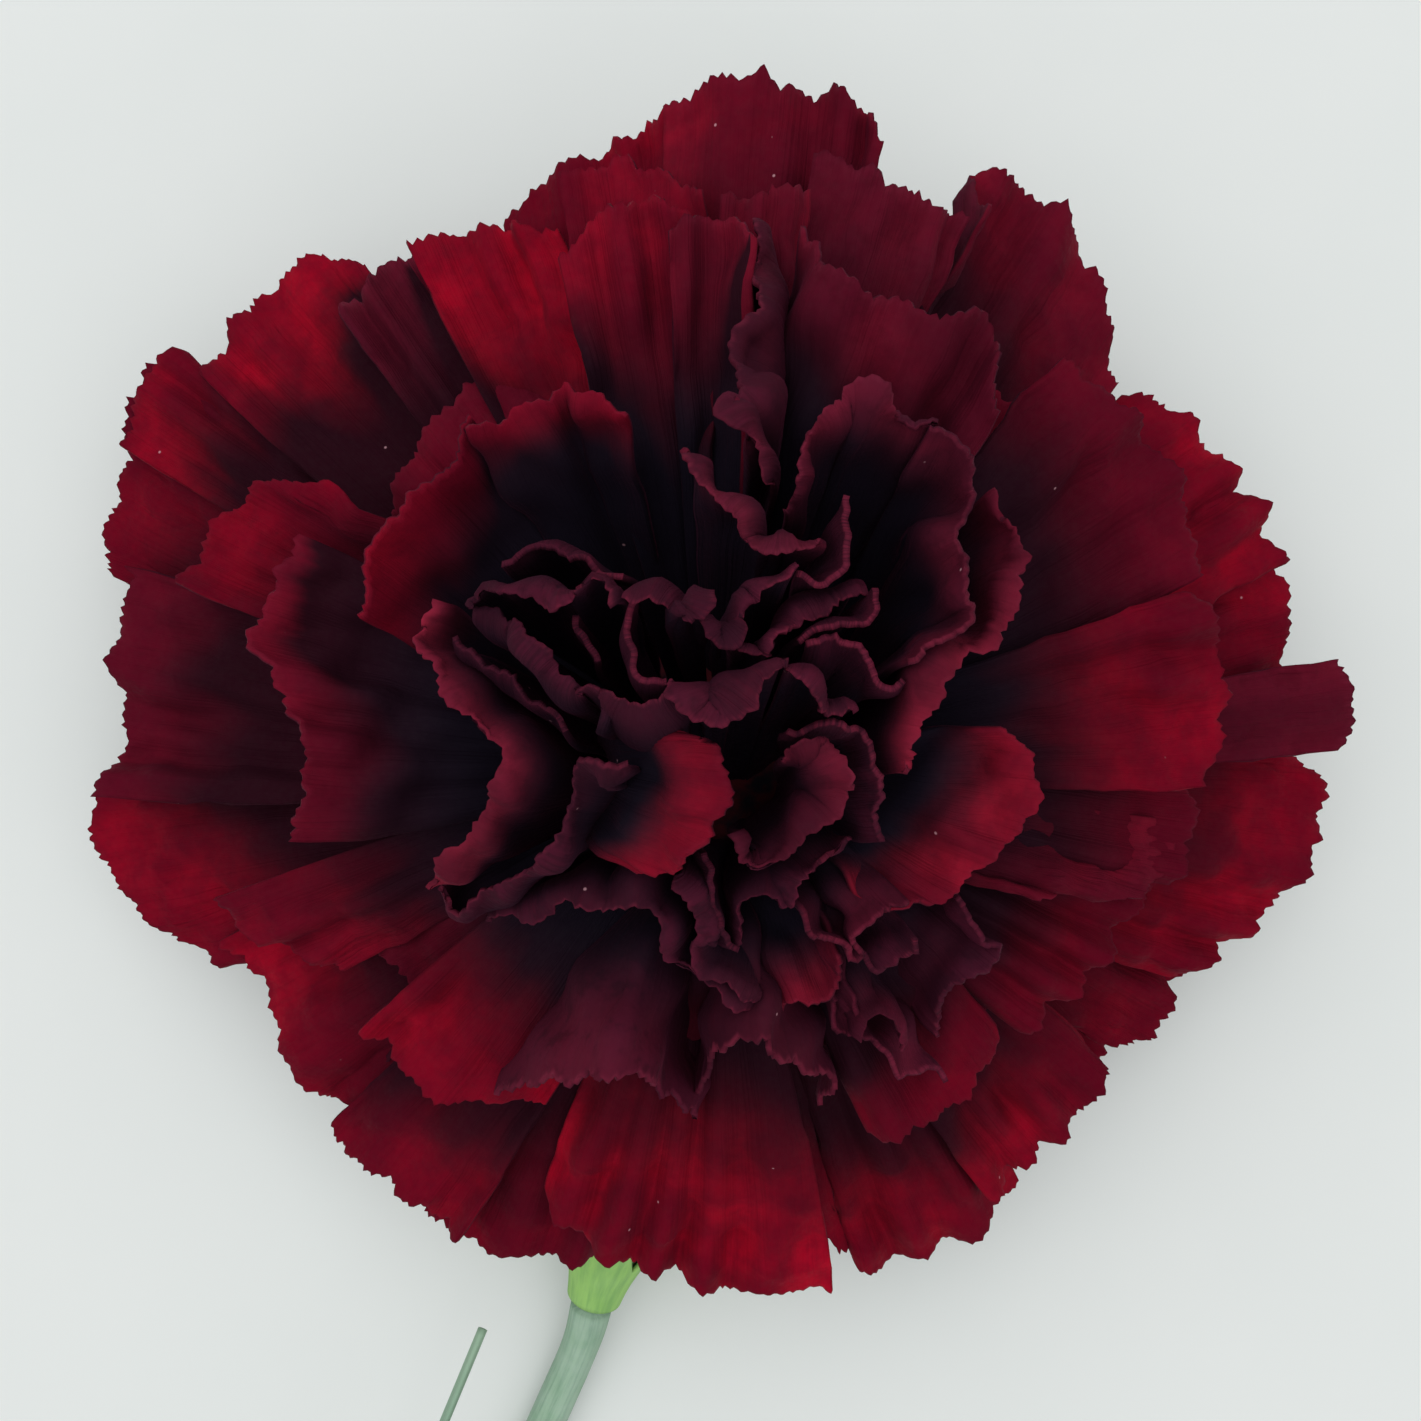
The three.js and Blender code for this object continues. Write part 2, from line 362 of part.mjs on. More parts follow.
// A closed thin blade on rows of places, split into triangles alike on both faces
function blade(rows, thickness) {
  const places = rows.flat();
  const vertices = [];
  for (const way of [1, -1]) {
    for (const { place, normal } of places) {
      const corner = place.clone().addScaledVector(normal, (way * thickness) / 2);
      vertices.push(corner.x, corner.y, Math.max(0, corner.z));
    }
  }
  const back = places.length;
  const columns = rows.map((row) => row.length - 1);
  const firsts = columns.map((_, row) => rows.slice(0, row).flat().length);
  const last = rows.length - 1;
  const faces = [];
  for (let row = 0; row < last; row += 1) {
    for (const [a, b, c] of strip(firsts[row], columns[row], firsts[row + 1], columns[row + 1])) {
      faces.push(a, b, c, back + a, back + c, back + b);
    }
  }
  const rim = [];
  for (let column = 0; column < columns[0]; column += 1) rim.push(column);
  for (let row = 0; row < last; row += 1) rim.push(firsts[row] + columns[row]);
  for (let column = columns[last]; column > 0; column -= 1) rim.push(firsts[last] + column);
  for (let row = last; row > 0; row -= 1) rim.push(firsts[row]);
  rim.forEach((from, place) => {
    const to = rim[(place + 1) % rim.length];
    faces.push(to, from, back + from, to, back + from, back + to);
  });
  return closedGeometry(vertices, faces);
}

function closedGeometry(vertices, faces) {
  const geometry = new THREE.BufferGeometry();
  geometry.setAttribute('position', new THREE.Float32BufferAttribute(vertices, 3));
  geometry.setIndex(faces);
  geometry.computeVertexNormals();
  return geometry;
}

// Joining solids
const wasm = await Module();
wasm.setup();

function solid(geometry) {
  const bare = geometry.clone();
  bare.deleteAttribute('normal');
  const merged = mergeVertices(bare, WELD);
  return new wasm.Manifold(new wasm.Mesh({
    numProp: 3,
    vertProperties: new Float32Array(merged.attributes.position.array),
    triVerts: new Uint32Array(merged.index.array),
  }));
}

// The joined solid, welded, with its sealed hollows filled and its loose scraps dropped
function joined(geometries) {
  let whole = solid(geometries[0]);
  for (const geometry of geometries.slice(1)) whole = whole.add(solid(geometry));
  const bodies = solid(geometryOf(whole)).decompose().sort((a, b) => b.volume() - a.volume());
  return geometryOf(bodies[0]);
}

function geometryOf(made) {
  const mesh = made.getMesh();
  return closedGeometry(Array.from(mesh.vertProperties), Array.from(mesh.triVerts));
}

// The faces between one ring of corners and another
function ringFaces(ring, next, sides) {
  return Array.from({ length: sides }, (_, side) => {
    const a = ring * sides + side;
    const b = ring * sides + ((side + 1) % sides);
    const c = next * sides + side;
    const d = next * sides + ((side + 1) % sides);
    return [a, b, d, a, d, c];
  }).flat();
}

function cornersOf(rings) {
  return rings.flat().flatMap((place) => [place.x, place.y, place.z]);
}

// A solid of rings of places; both ends are closed by a fan
function ringed(rings) {
  const sides = rings[0].length;
  const vertices = cornersOf(rings);
  const faces = [];
  for (let ring = 0; ring < rings.length - 1; ring += 1) faces.push(...ringFaces(ring, ring + 1, sides));
  for (const [ring, turned] of [[0, true], [rings.length - 1, false]]) {
    const middle = rings[ring].reduce((sum, place) => sum.add(place), new THREE.Vector3()).divideScalar(sides);
    const centre = vertices.length / 3;
    vertices.push(middle.x, middle.y, middle.z);
    for (let side = 0; side < sides; side += 1) {
      const a = ring * sides + side;
      const b = ring * sides + ((side + 1) % sides);
      faces.push(...(turned ? [centre, b, a] : [centre, a, b]));
    }
  }
  return closedGeometry(vertices, faces);
}

// Joins an outer and an inner wall into one open tube
function tubeWalls(outer, inner) {
  const rings = [...outer, ...inner.toReversed()];
  const faces = rings.flatMap((_, ring) => ringFaces(ring, (ring + 1) % rings.length, rings[0].length));
  return closedGeometry(cornersOf(rings), faces);
}

// Places on a circle round a direction
function circle(centre, way, radius, sides) {
  const across = new THREE.Vector3().crossVectors(way, UP).normalize();
  const over = new THREE.Vector3().crossVectors(across, way).normalize();
  return Array.from({ length: sides }, (_, side) => {
    const angle = (2 * Math.PI * side) / sides;
    return centre.clone()
      .addScaledVector(across, radius * Math.cos(angle))
      .addScaledVector(over, -radius * Math.sin(angle));
  });
}

function alongCalyx(distance) {
  return CALYX_BASE.clone().addScaledVector(CALYX_DIRECTION, distance);
}

// Outer radius of the calyx at a distance from its base
function calyxRadius(distance) {
  return CALYX_SWELLINGS.reduce((sum, { by, from, to }) => sum + by * smooth(from, to, distance), CALYX_LEAST_RADIUS);
}

// The bundle of claws that fills the calyx, and the dense heart of the bloom above it
function clawBundle() {
  const rings = [CALYX_FLOOR + SEAT_GAP, ...CLAW_STOPS, CALYX_LENGTH - 1].map((stop) => {
    const radius = calyxRadius(stop) - CALYX_WALL - CLAW_GAP;
    return circle(alongCalyx(stop), CALYX_DIRECTION, radius, HEART_SIDES);
  });
  const between = CALYX_DIRECTION.clone().add(NECK_DIRECTION).normalize();
  const ringAt = ([level, radius], way) => circle(
    MOUTH.clone().addScaledVector(NECK_DIRECTION, level), way, radius, HEART_SIDES);
  rings.push(ringAt(MOUTH_RING, between));
  for (const ring of HEART) rings.push(ringAt(ring, BLOOM_DIRECTION));
  return ringed(rings);
}

function bloom() {
  const petals = [clawBundle()];
  for (const layer of LAYERS) {
    for (const shape of layer.petals) petals.push(petal(shape, layer, petals.length));
  }
  return joined(petals);
}

// The two walls of a tube round the calyx axis with pointed lobes along its far rim
function lobedTube({ from, rim, tip, lobes, wall, clearance, sides, turn, flare }) {
  const across = new THREE.Vector3().crossVectors(CALYX_DIRECTION, UP).normalize();
  const over = new THREE.Vector3().crossVectors(across, CALYX_DIRECTION).normalize();
  const ringAt = (stop, thickness) => Array.from({ length: sides }, (_, side) => {
    const angle = (2 * Math.PI * side) / sides;
    const lobe = Math.abs((((angle + turn) / (2 * Math.PI)) * lobes) % 1 - 0.5) * 2;
    const distance = from + stop * (rim + (tip - rim) * lobe ** LOBE_POINT - from);
    const spread = flare * smooth(rim - FLARE_LENGTH, tip, distance);
    const radius = calyxRadius(Math.min(distance, CALYX_LENGTH)) + clearance + spread + thickness;
    return alongCalyx(distance)
      .addScaledVector(across, radius * Math.cos(angle))
      .addScaledVector(over, -radius * Math.sin(angle));
  });
  return { outer: LOBE_STOPS.map((stop) => ringAt(stop, wall)), inner: LOBE_STOPS.map((stop) => ringAt(stop, 0)) };
}

function calyx() {
  const { outer, inner } = lobedTube({
    from: CALYX_FLOOR, rim: 24.5, tip: 30.2, lobes: 5, wall: CALYX_WALL, clearance: -CALYX_WALL,
    sides: CALYX_SIDES, turn: 0, flare: 0.5,
  });
  // under its floor the rings go on to a closed foot
  const { radius, rise } = CALYX_FOOT;
  const foot = circle(CALYX_BASE.clone(), CALYX_DIRECTION, radius, CALYX_SIDES);
  const middle = circle(alongCalyx(rise), CALYX_DIRECTION, calyxRadius(rise), CALYX_SIDES);
  return ringed([foot, middle, ...outer, ...inner.toReversed()]);
}

function epicalyx() {
  const { outer, inner } = lobedTube({
    from: CALYX_FOOT.rise, rim: 4.5, tip: 11, lobes: 4, wall: 0.6, clearance: SEAT_GAP, sides: 24, turn: 0,
    flare: 0.3,
  });
  return tubeWalls(outer, inner);
}

// The stem
const STEM_PATH = new THREE.CatmullRomCurve3([
  [-7.9, -39.6, 3.9], [-8.9, -43.2, 2.6], [-11.8, -50, 1.6], [-16.4, -61, 1.6], [-24.4, -84, 2.4], [-31, -110, 3.2],
  [-36, -138, 2.6], [-39.4, -166, 2.2], [-41, -196, 1.8],
].map(([x, y, z]) => new THREE.Vector3(x, y, z)), false, 'catmullrom', 0.5);

function stemRadius(share) {
  const swelling = NODE_PLACES.reduce(
    (sum, node) => sum + NODE_SWELLING * Math.exp(-(((share - node) / NODE_REACH) ** 2)), 0);
  const receptacle = RECEPTACLE.by * (1 - smooth(0, RECEPTACLE.reach, share));
  return STEM_RADIUS + STEM_TAPER * share + swelling + receptacle;
}

// The middle of the stem, never lower than its own radius above the surface
function stemPlace(share) {
  const place = STEM_PATH.getPointAt(share);
  place.z = Math.max(place.z, stemRadius(share));
  return place;
}

function stemWay(share) {
  return STEM_PATH.getTangentAt(share);
}

// The rings of the stem lie close together at its nodes
function stemStops() {
  const first = SEAT_GAP / STEM_PATH.getLength();
  const even = Array.from({ length: STEM_STEPS + 1 }, (_, step) => first + (1 - first) * (step / STEM_STEPS));
  const clearance = NODE_CLEARANCE * NODE_REACH;
  const clear = even.filter((share) => NODE_PLACES.every((node) => Math.abs(share - node) > clearance));
  const close = NODE_PLACES.flatMap((node) => NODE_STOPS.map((stop) => node + stop * NODE_REACH));
  return [...clear, ...close].sort((a, b) => a - b);
}

function stem() {
  const rings = stemStops().map(
    (share) => circle(stemPlace(share), stemWay(share).negate(), stemRadius(share), STEM_SIDES).reverse());
  // the slanting cut
  for (const place of rings[rings.length - 1]) place.y += CUT_SLANT * (place.z - STEM_RADIUS - STEM_TAPER);
  return ringed(rings.reverse());
}

// The leaves. Each clasps its stem node on one side and is bent clear of the stem; path is laid out
// from the place where it clasps.
const LEAVES = [
  { name: 'leaf_upper_left', node: 0, side: 178, halfWidth: 2.5,
    path: [[-0.5, 8.3, 1.3], [3, 22.3, 4.8], [8, 34.3, 6.3], [11.2, 41.8, 6.1], [14, 48.5, 5.3]] },
  { name: 'leaf_upper_right', node: 0, side: 2, halfWidth: 2.4,
    path: [[4.6, 6.5, 0.6], [15, 15, 4.5], [30, 20, 7], [46, 19, 4], [57, 14, -1]] },
  { name: 'leaf_lower_left', node: 1, side: 140, halfWidth: 2.7,
    path: [[-4, 7, 3], [-12, 20, 9], [-24, 36, 12], [-37, 50, 8], [-47, 60, -1.4]] },
  { name: 'leaf_lower_right', node: 1, side: 8, halfWidth: 2.7,
    path: [[4, 8, 1], [10, 22, 3.2], [21, 42, 4], [34, 58, 2], [46, 68, -1.6]] },
];

function leafHalfWidth(halfWidth, t) {
  const share = Math.max(0, (t - LEAF_TAPER_FROM) / (1 - LEAF_TAPER_FROM)) ** LEAF_TAPER_POWER;
  return halfWidth * (1 - (1 - LEAF_TIP) * share);
}

function leaf({ node, side, halfWidth, path }) {
  const share = NODE_PLACES[node];
  const centre = stemPlace(share);
  const way = stemWay(share).negate();
  const across = new THREE.Vector3().crossVectors(way, UP).normalize();
  const over = new THREE.Vector3().crossVectors(across, way).normalize();
  const turn = THREE.MathUtils.degToRad(side);
  const outwards = across.clone().multiplyScalar(Math.cos(turn)).addScaledVector(over, Math.sin(turn));
  const seat = stemRadius(share) + SEAT_GAP + LEAF_BLADE / 2;
  const start = centre.clone().addScaledVector(outwards, seat);
  const route = [start, ...path.map(([x, y, z]) => start.clone().add(new THREE.Vector3(x, y, z)))];
  const middle = new THREE.CatmullRomCurve3(route, false, 'catmullrom', 0.5);
  const firstAcross = new THREE.Vector3().crossVectors(way, outwards).normalize();
  const rows = [];
  for (let row = 0; row <= LEAF_ROWS; row += 1) {
    const t = row / LEAF_ROWS;
    const tangent = middle.getTangentAt(t);
    const sideways = firstAcross.clone().addScaledVector(tangent, -firstAcross.dot(tangent)).normalize();
    const outer = new THREE.Vector3().crossVectors(sideways, tangent).normalize();
    const width = leafHalfWidth(halfWidth, t);
    const clasp = THREE.MathUtils.lerp(CLASP_AT_NODE, CLASP_BEYOND, smooth(0, CLASP_REACH, t));
    const bend = t === 0 ? seat : Math.max(seat, width / clasp);
    const places = [];
    for (let column = 0; column <= LEAF_COLUMNS; column += 1) {
      const angle = (-1 + (2 * column) / LEAF_COLUMNS) * (width / bend);
      const place = middle.getPointAt(t)
        .addScaledVector(sideways, bend * Math.sin(angle))
        .addScaledVector(outer, -bend * (1 - Math.cos(angle)));
      place.z = Math.max(place.z, LEAF_BLADE / 2);
      const normal = outer.clone().multiplyScalar(Math.cos(angle)).addScaledVector(sideways, Math.sin(angle));
      places.push({ place, normal });
    }
    rows.push(places);
  }
  return blade(rows, LEAF_BLADE);
}

// Pieces whose faces came out inside out are turned
function facingOut(geometry) {
  if (solid(geometry).volume() > 0) return geometry;
  const index = Array.from(geometry.index.array);
  for (let i = 0; i < index.length; i += 3) [index[i], index[i + 1]] = [index[i + 1], index[i]];
  return closedGeometry(Array.from(geometry.attributes.position.array), index);
}

function piece(name, geometry, color, roughness) {
  const material = new THREE.MeshStandardMaterial({ color, roughness, metalness: 0 });
  const mesh = new THREE.Mesh(facingOut(geometry), material);
  mesh.name = name;
  return mesh;
}

const flower = new THREE.Group();
flower.add(piece('bloom', bloom(), PETAL_RED, 0.85));
flower.add(piece('calyx', calyx(), CALYX_GREEN, 0.6));
flower.add(piece('epicalyx', epicalyx(), BRACT_GREEN, 0.6));
flower.add(piece('stem', stem(), STEM_GREEN, 0.6));
for (const shape of LEAVES) flower.add(piece(shape.name, leaf(shape), LEAF_GREEN, 0.65));
flower.position.copy(ORIGIN_SHIFT);

export default flower;
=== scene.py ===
"""A cut standard carnation that lies on a pale floor, seen from straight above.

The places below are in millimetres, in the same frame as the solid model before its last shift;
mesh_piece() turns them into the frame's metres.
"""
import math

import bpy
import numpy as np
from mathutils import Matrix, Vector

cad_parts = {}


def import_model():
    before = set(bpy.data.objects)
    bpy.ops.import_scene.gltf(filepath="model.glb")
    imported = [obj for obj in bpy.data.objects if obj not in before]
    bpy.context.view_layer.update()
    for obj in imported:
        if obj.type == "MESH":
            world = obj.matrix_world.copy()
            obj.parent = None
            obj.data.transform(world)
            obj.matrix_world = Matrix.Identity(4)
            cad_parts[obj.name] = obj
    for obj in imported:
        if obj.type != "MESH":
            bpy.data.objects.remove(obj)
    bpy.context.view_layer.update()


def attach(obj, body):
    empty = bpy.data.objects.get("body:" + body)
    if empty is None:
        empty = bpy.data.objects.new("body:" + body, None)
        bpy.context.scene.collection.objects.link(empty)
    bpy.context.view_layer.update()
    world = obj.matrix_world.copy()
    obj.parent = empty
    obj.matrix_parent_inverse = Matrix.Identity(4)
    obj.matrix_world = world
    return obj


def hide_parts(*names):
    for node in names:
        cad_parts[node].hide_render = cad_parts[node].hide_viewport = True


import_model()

# Sizes shared with the solid model, in millimetres and degrees. Shares of a petal's length: PULL is how
# straight it runs up to its edge, ROLL_FROM where its rim starts to roll. FULLNESS is how soon a petal
# reaches its full width, OUTNESS how far its claw stands off the middle, and ROLL_DROP and ROLL_FADE how
# far a rolled rim drops and how much of the roll is lost at the ends of the edge.
MM = 0.001
ORIGIN_SHIFT = np.array([23.9, 80.9, 0.0])
EYE_HEIGHT = 118.0
PLAN_HEIGHT = 18.0
CALYX_BASE = np.array([-7.9, -39.6, 3.9])
CALYX_LENGTH = 34.0
CALYX_RISE = 19.0
CALYX_BEARING = 15.0
NECK_RISE = 45.0
BLOOM_RISE = 70.0
CLAW_HALF_WIDTH = 1.2
PULL = 0.42
FULLNESS = 0.55
STEADY_REACH = 16.0
UPRIGHT_PULL = 0.18
UPRIGHT_FROM = 30.0
UPRIGHT_TO = 70.0
OUTNESS = 0.5
ROLL_FROM = 0.7
ROLL_DROP = 0.25
ROLL_FADE = 0.7
UNEVEN_FOLDS = 0.3
UNEVEN_TURN = 2.3
HEART = [(6, 7.2), (9, 7.4), (12, 5.6), (14, 2.6)]
MOUTH_RING = (1.5, 5.1)
CLAW_GAP = 0.45
CALYX_FLOOR = 3.0
CALYX_WALL = 0.9
CALYX_LEAST_RADIUS = 1.3
CALYX_SWELLINGS = ((0.7, -1, 5), (3.8, 2, 17), (0.6, 15, 30))
LOBE_POINT = 1.3
FLARE_LENGTH = 4
SEAT_GAP = 0.3
STEM_RADIUS = 1.25
STEM_TAPER = 0.5
RECEPTACLE_SWELLING = 0.15
RECEPTACLE_REACH = 0.03
CUT_SLANT = 0.7
NODE_SWELLING = 0.85
NODE_PLACES = (0.33, 0.72)
NODE_REACH = 0.018
LEAF_TAPER_FROM = 0.3
LEAF_TAPER_POWER = 1.2
LEAF_TIP = 0.05
CLASP_AT_NODE = 1.35
CLASP_BEYOND = 0.55
CLASP_REACH = 0.2
UP = np.array([0.0, 0.0, 1.0])

# Sizes of the finer pieces. A petal's edge is cut into teeth and into broader lobes, its surface has
# folds, ruffles and low lumps, and the lumps ease off towards the edge.
PETAL_THICKNESS = 0.3
BRACT_THICKNESS = 0.3
BRACT_GAP = 0.14
LEAF_THICKNESS = 0.5
LEAF_THINNING = 0.55
LEAF_SEAT = 0.35
LEAF_CLEARANCE = 0.05
KEEL_HEIGHT = 0.12
KEEL_REACH = 0.16
CLEARANCE = 0.02
AXIS_RADIUS = 0.02
COLUMN_WIDTH = 0.2
LEAST_COLUMNS = 14
PETAL_ROWS = 26
ROW_SPACING = 1.45
UNEVEN_ROLL = 0.3
ROLL_WAVES = (1.1, 2.7)
FOLD_HEIGHT = 0.8
FOLD_DRIFT = 0.3
FOLD_SEED = 1000
RUFFLE_PITCHES = (0.8, 1.2)
RUFFLE_DRIFT = 1.6
LUMP_PITCHES = (6.2, 4.9, 3.8, 3.0, 2.3)
LUMP_HEIGHT = 0.19
LUMP_SEED = 5000
LUMPS_RISE = (0.4, 0.85)
LUMPS_EASE = (0.86, 1.0)
LUMPS_EASED = 0.6
TOOTH_PITCH = 0.65
TOOTH_DEPTH = 0.55
TOOTH_SHARPNESS = 1.1
LOBE_PITCH = 2.7
LOBE_DEPTH = 0.85
LOBE_SHARPNESS = 1.5
CUT_WIDTHS = (0.6, 1.4)
CUT_HEIGHTS = (0.35, 1.0)
CUTS_FROM = 0.8

# The petals. Each has: lift, how far it climbs before it bends outwards; slope, the angle in
# degrees at which it leaves its edge; wave, the depth of its folds; folds, their number; edge, the
# line of its outer edge as (x, y, height), laid out as seen from EYE_HEIGHT; and where given curl,
# how far its rim rolls to the left of that line, or to the right if below 0, and the place (x, y)
# of its claw.
GUARD_PETALS = [
    # under the bloom, every other one on the surface
    (5, 2, 0.3, 2, [(-10, 24, -5), (-3, 27.5, -5), (5, 28, -5), (13, 24, -5)]),
    (5, -14, 0.4, 2, [(8, 27, 5), (16, 24.5, 4), (23, 19, 4), (27.5, 11, 5)]),
    (6, 2, 0.4, 2, [(23, 15.5, -5), (28, 9, -5), (29.8, 0, -5), (28, -7, -5)]),
    (5, -16, 0.4, 2, [(31, -2, 5), (30.5, -10, 4), (25.5, -17.5, 4), (19, -23, 5)]),
    (7, -16, 0.3, 2, [(20, -22, 6), (16, -26, 6), (11, -28.5, 7)]),
    (10, -16, 0.4, 2, [(-18.5, -22.5, 6), (-22.5, -18.5, 5), (-27.5, -12.5, 5), (-29.5, -5, 5)]),
    (7, 2, 0.4, 2, [(-27.5, -9, -5), (-30, -1, -5), (-28.5, 8, -5), (-23.5, 14, -5)]),
    (5, -14, 0.4, 2, [(-28.5, 11, 5), (-25, 19, 4), (-18, 23.5, 4), (-9.5, 26, 5)]),
]
OUTER_PETALS = [
    # far side, then clockwise
    (10, -7, 0.5, 3, [(-2.9, 35.4, 24), (0.8, 37, 25), (4.6, 36.6, 25), (8, 36.2, 25),
     (10.2, 33.6, 26)]),
    (12, -6, 0.4, 3, [(6.2, 32.6, 29), (10.5, 31, 28), (13, 29.8, 28), (15, 29, 27)]),
    (10, -17, 0.6, 3, [(15.2, 29.5, 26), (17, 31.6, 22), (21.2, 28.4, 21), (22.9, 24.6, 20),
     (23.9, 19, 20)]),
    (8, -24, 0.6, 3, [(24.2, 18.4, 16), (29.3, 16.2, 16), (32.2, 11.8, 16), (33, 8.6, 15)]),
    (8, -21, 0.2, 2, [(32, 9.4, 13), (33.9, 7, 13), (33.4, 2, 12)]),
    (9, -14, 0.2, 1, [(36.8, 2.9, 16), (37.7, 0.6, 15), (37, -2.3, 15)]),
    (7, -24, 0.6, 3, [(34.8, -2.5, 10), (36.2, -4, 10), (35.7, -7.2, 10), (32.6, -12.2, 10),
     (27.2, -15.8, 11)]),
    (6, -27, 0.3, 2, [(27, -15.2, 8), (26.3, -19.5, 8), (22.4, -18.9, 9)]),
    (8, -26, 0.5, 3, [(21.9, -19.2, 14), (22.9, -22, 13), (20, -25.1, 13), (16.6, -29, 13)]),
    (8, -30, 0.6, 3, [(18.4, -28, 10), (13.8, -31.4, 10), (9.8, -33, 10), (8.4, -32.4, 11),
     (6.4, -29.8, 12)]),
    (11, -32, 0.7, 4, [(-10, -28.6, 18), (-5.5, -32, 18), (0, -34, 17), (4, -33.8, 17),
     (7.1, -34.6, 17)]),
    (9, -30, 0.5, 3, [(-4.4, -31.7, 15), (-9, -32, 14), (-13.2, -31.7, 14), (-17, -29.6, 13)]),
    (9, -27, 0.5, 2, [(-14.6, -31, 16), (-18.6, -27.6, 15), (-21.9, -25.9, 14), (-22.2, -24.2, 14)]),
    (8, -26, 0.6, 3, [(-19.6, -21.8, 13), (-20.8, -23, 13), (-23.4, -22.8, 13), (-24.8, -20, 13),
     (-26.4, -16.4, 13), (-29, -13.6, 13)]),
    (7, -25, 0.5, 3, [(-28, -14.6, 10), (-32.2, -12.8, 10), (-35.8, -9, 10), (-36.3, -6.4, 10),
     (-35, -5, 10)]),
    (9, -20, 0.4, 3, [(-36.2, -5, 14), (-34.6, -1.5, 13), (-34.8, 3.6, 13), (-34.4, 8.4, 14)]),
    (8, -19, 0.5, 3, [(-34.6, 8, 10), (-35.8, 10.6, 10), (-34.2, 14.8, 11), (-33.9, 18, 11),
     (-31.6, 21, 12)]),
    (9, -21, 0.45, 2, [(-29.6, 19.6, 14), (-27.3, 23.4, 14), (-24, 26.3, 15), (-20.2, 26, 16)]),
    (11, -12, 0.4, 2, [(-21.8, 23.4, 21), (-20, 25.6, 21), (-17, 27.2, 21)]),
    (12, -14, 0.4, 2, [(-17.8, 27.4, 23), (-15.4, 28.2, 23), (-12.2, 28.4, 24), (-9, 28.2, 26)]),
    (9, -11, 0.5, 3, [(-12.4, 28.8, 19), (-9.2, 31.6, 20), (-5.4, 33.4, 21), (-1.8, 35.6, 22)]),
]
LOWER_MIDDLE_PETALS = [
    # under the middle ones, which hide them from above
    (8, -20, 0.3, 2, [(-22, -7, 19), (-23.5, 0, 20), (-22.5, 8, 20)]),
    (9, -18, 0.3, 2, [(-20, 9, 22), (-17, 16, 23), (-11, 21, 24)]),
    (9, -15, 0.3, 2, [(9, 22, 25), (16.5, 19, 24), (22, 13.5, 23)]),
    (8, -20, 0.3, 2, [(24, 9, 22), (26.5, 2, 22), (25, -6, 21)]),
    (8, -22, 0.3, 2, [(23, -8, 21), (19.5, -14, 21), (14, -19, 22)]),
    (8, -24, 0.3, 2, [(9, -20, 23), (0, -19, 24), (-8, -20, 23)]),
    (8, -22, 0.3, 2, [(-10, -20, 21), (-16.5, -17, 20), (-21, -12, 20)]),
]
MIDDLE_PETALS = [
    (7, -6, 0.4, 2, [(-8.9, 26.4, 32), (-6.4, 29, 32), (-3, 30.2, 32), (-1.2, 28.2, 33)]),
    (7, 4, 0.3, 2, [(-2.4, 28.2, 34), (0.4, 29.2, 34), (2.6, 28.2, 35)]),
    (7, 18, 0.5, 2, [(5.2, 28.2, 34), (8, 25.4, 36), (12.6, 23.6, 36), (16.4, 23, 35),
     (17.2, 17.6, 35)]),
    (7, -22, 0.5, 2, [(21, 20.6, 30), (25.2, 16.4, 27), (28.2, 13.2, 26), (28.4, 7.8, 26)]),
    (7, -25, 0.5, 2, [(28, 7, 28), (30, 3.6, 27), (30.4, -0.6, 26), (28.8, -4.4, 26)]),
    (7, -25, 0.4, 2, [(27.6, -3.6, 24), (28.3, -6.4, 24), (27, -10.2, 24)]),
    (7, -25, 0.6, 3, [(27.2, -9.4, 21), (24.4, -12.6, 22), (21.8, -16, 22), (18, -18.6, 22)]),
    (7, -22, 0.5, 2, [(17, -18.8, 24), (14.6, -23.2, 24), (9.4, -25, 24)]),
    (7, 30, 0.3, 3, [(-12.4, -22.6, 24), (-9, -21.4, 31), (-6, -21.4, 33), (-2.6, -22.2, 29),
     (-0.9, -23.8, 23), (0.3, -20.6, 29), (3, -19.4, 33), (5.4, -20.6, 31),
     (7.2, -23, 23)]),
    (7, -23, 0.5, 2, [(-10, -23.6, 23), (-15.4, -22.4, 22), (-20.6, -18.8, 22)]),
    (7, -22, 0.4, 2, [(-21.4, -15.4, 20), (-27, -13.4, 20), (-28.6, -10.8, 20)]),
    (7, 22, 0.5, 3, [(-24.8, -7.8, 30), (-23.9, -3, 30), (-25.4, 1.6, 30), (-26.8, 4.6, 30),
     (-24.2, 10.4, 30)]),
    (7, -16, 0.5, 2, [(-31, 7.4, 22), (-29.4, 11, 22), (-26, 13.4, 22), (-22.6, 13.6, 24)]),
    (7, 60, 0.4, 2, [(-21, 5.8, 32), (-18.8, 11.2, 34), (-15.3, 14.2, 34), (-14, 17.2, 35)]),
]
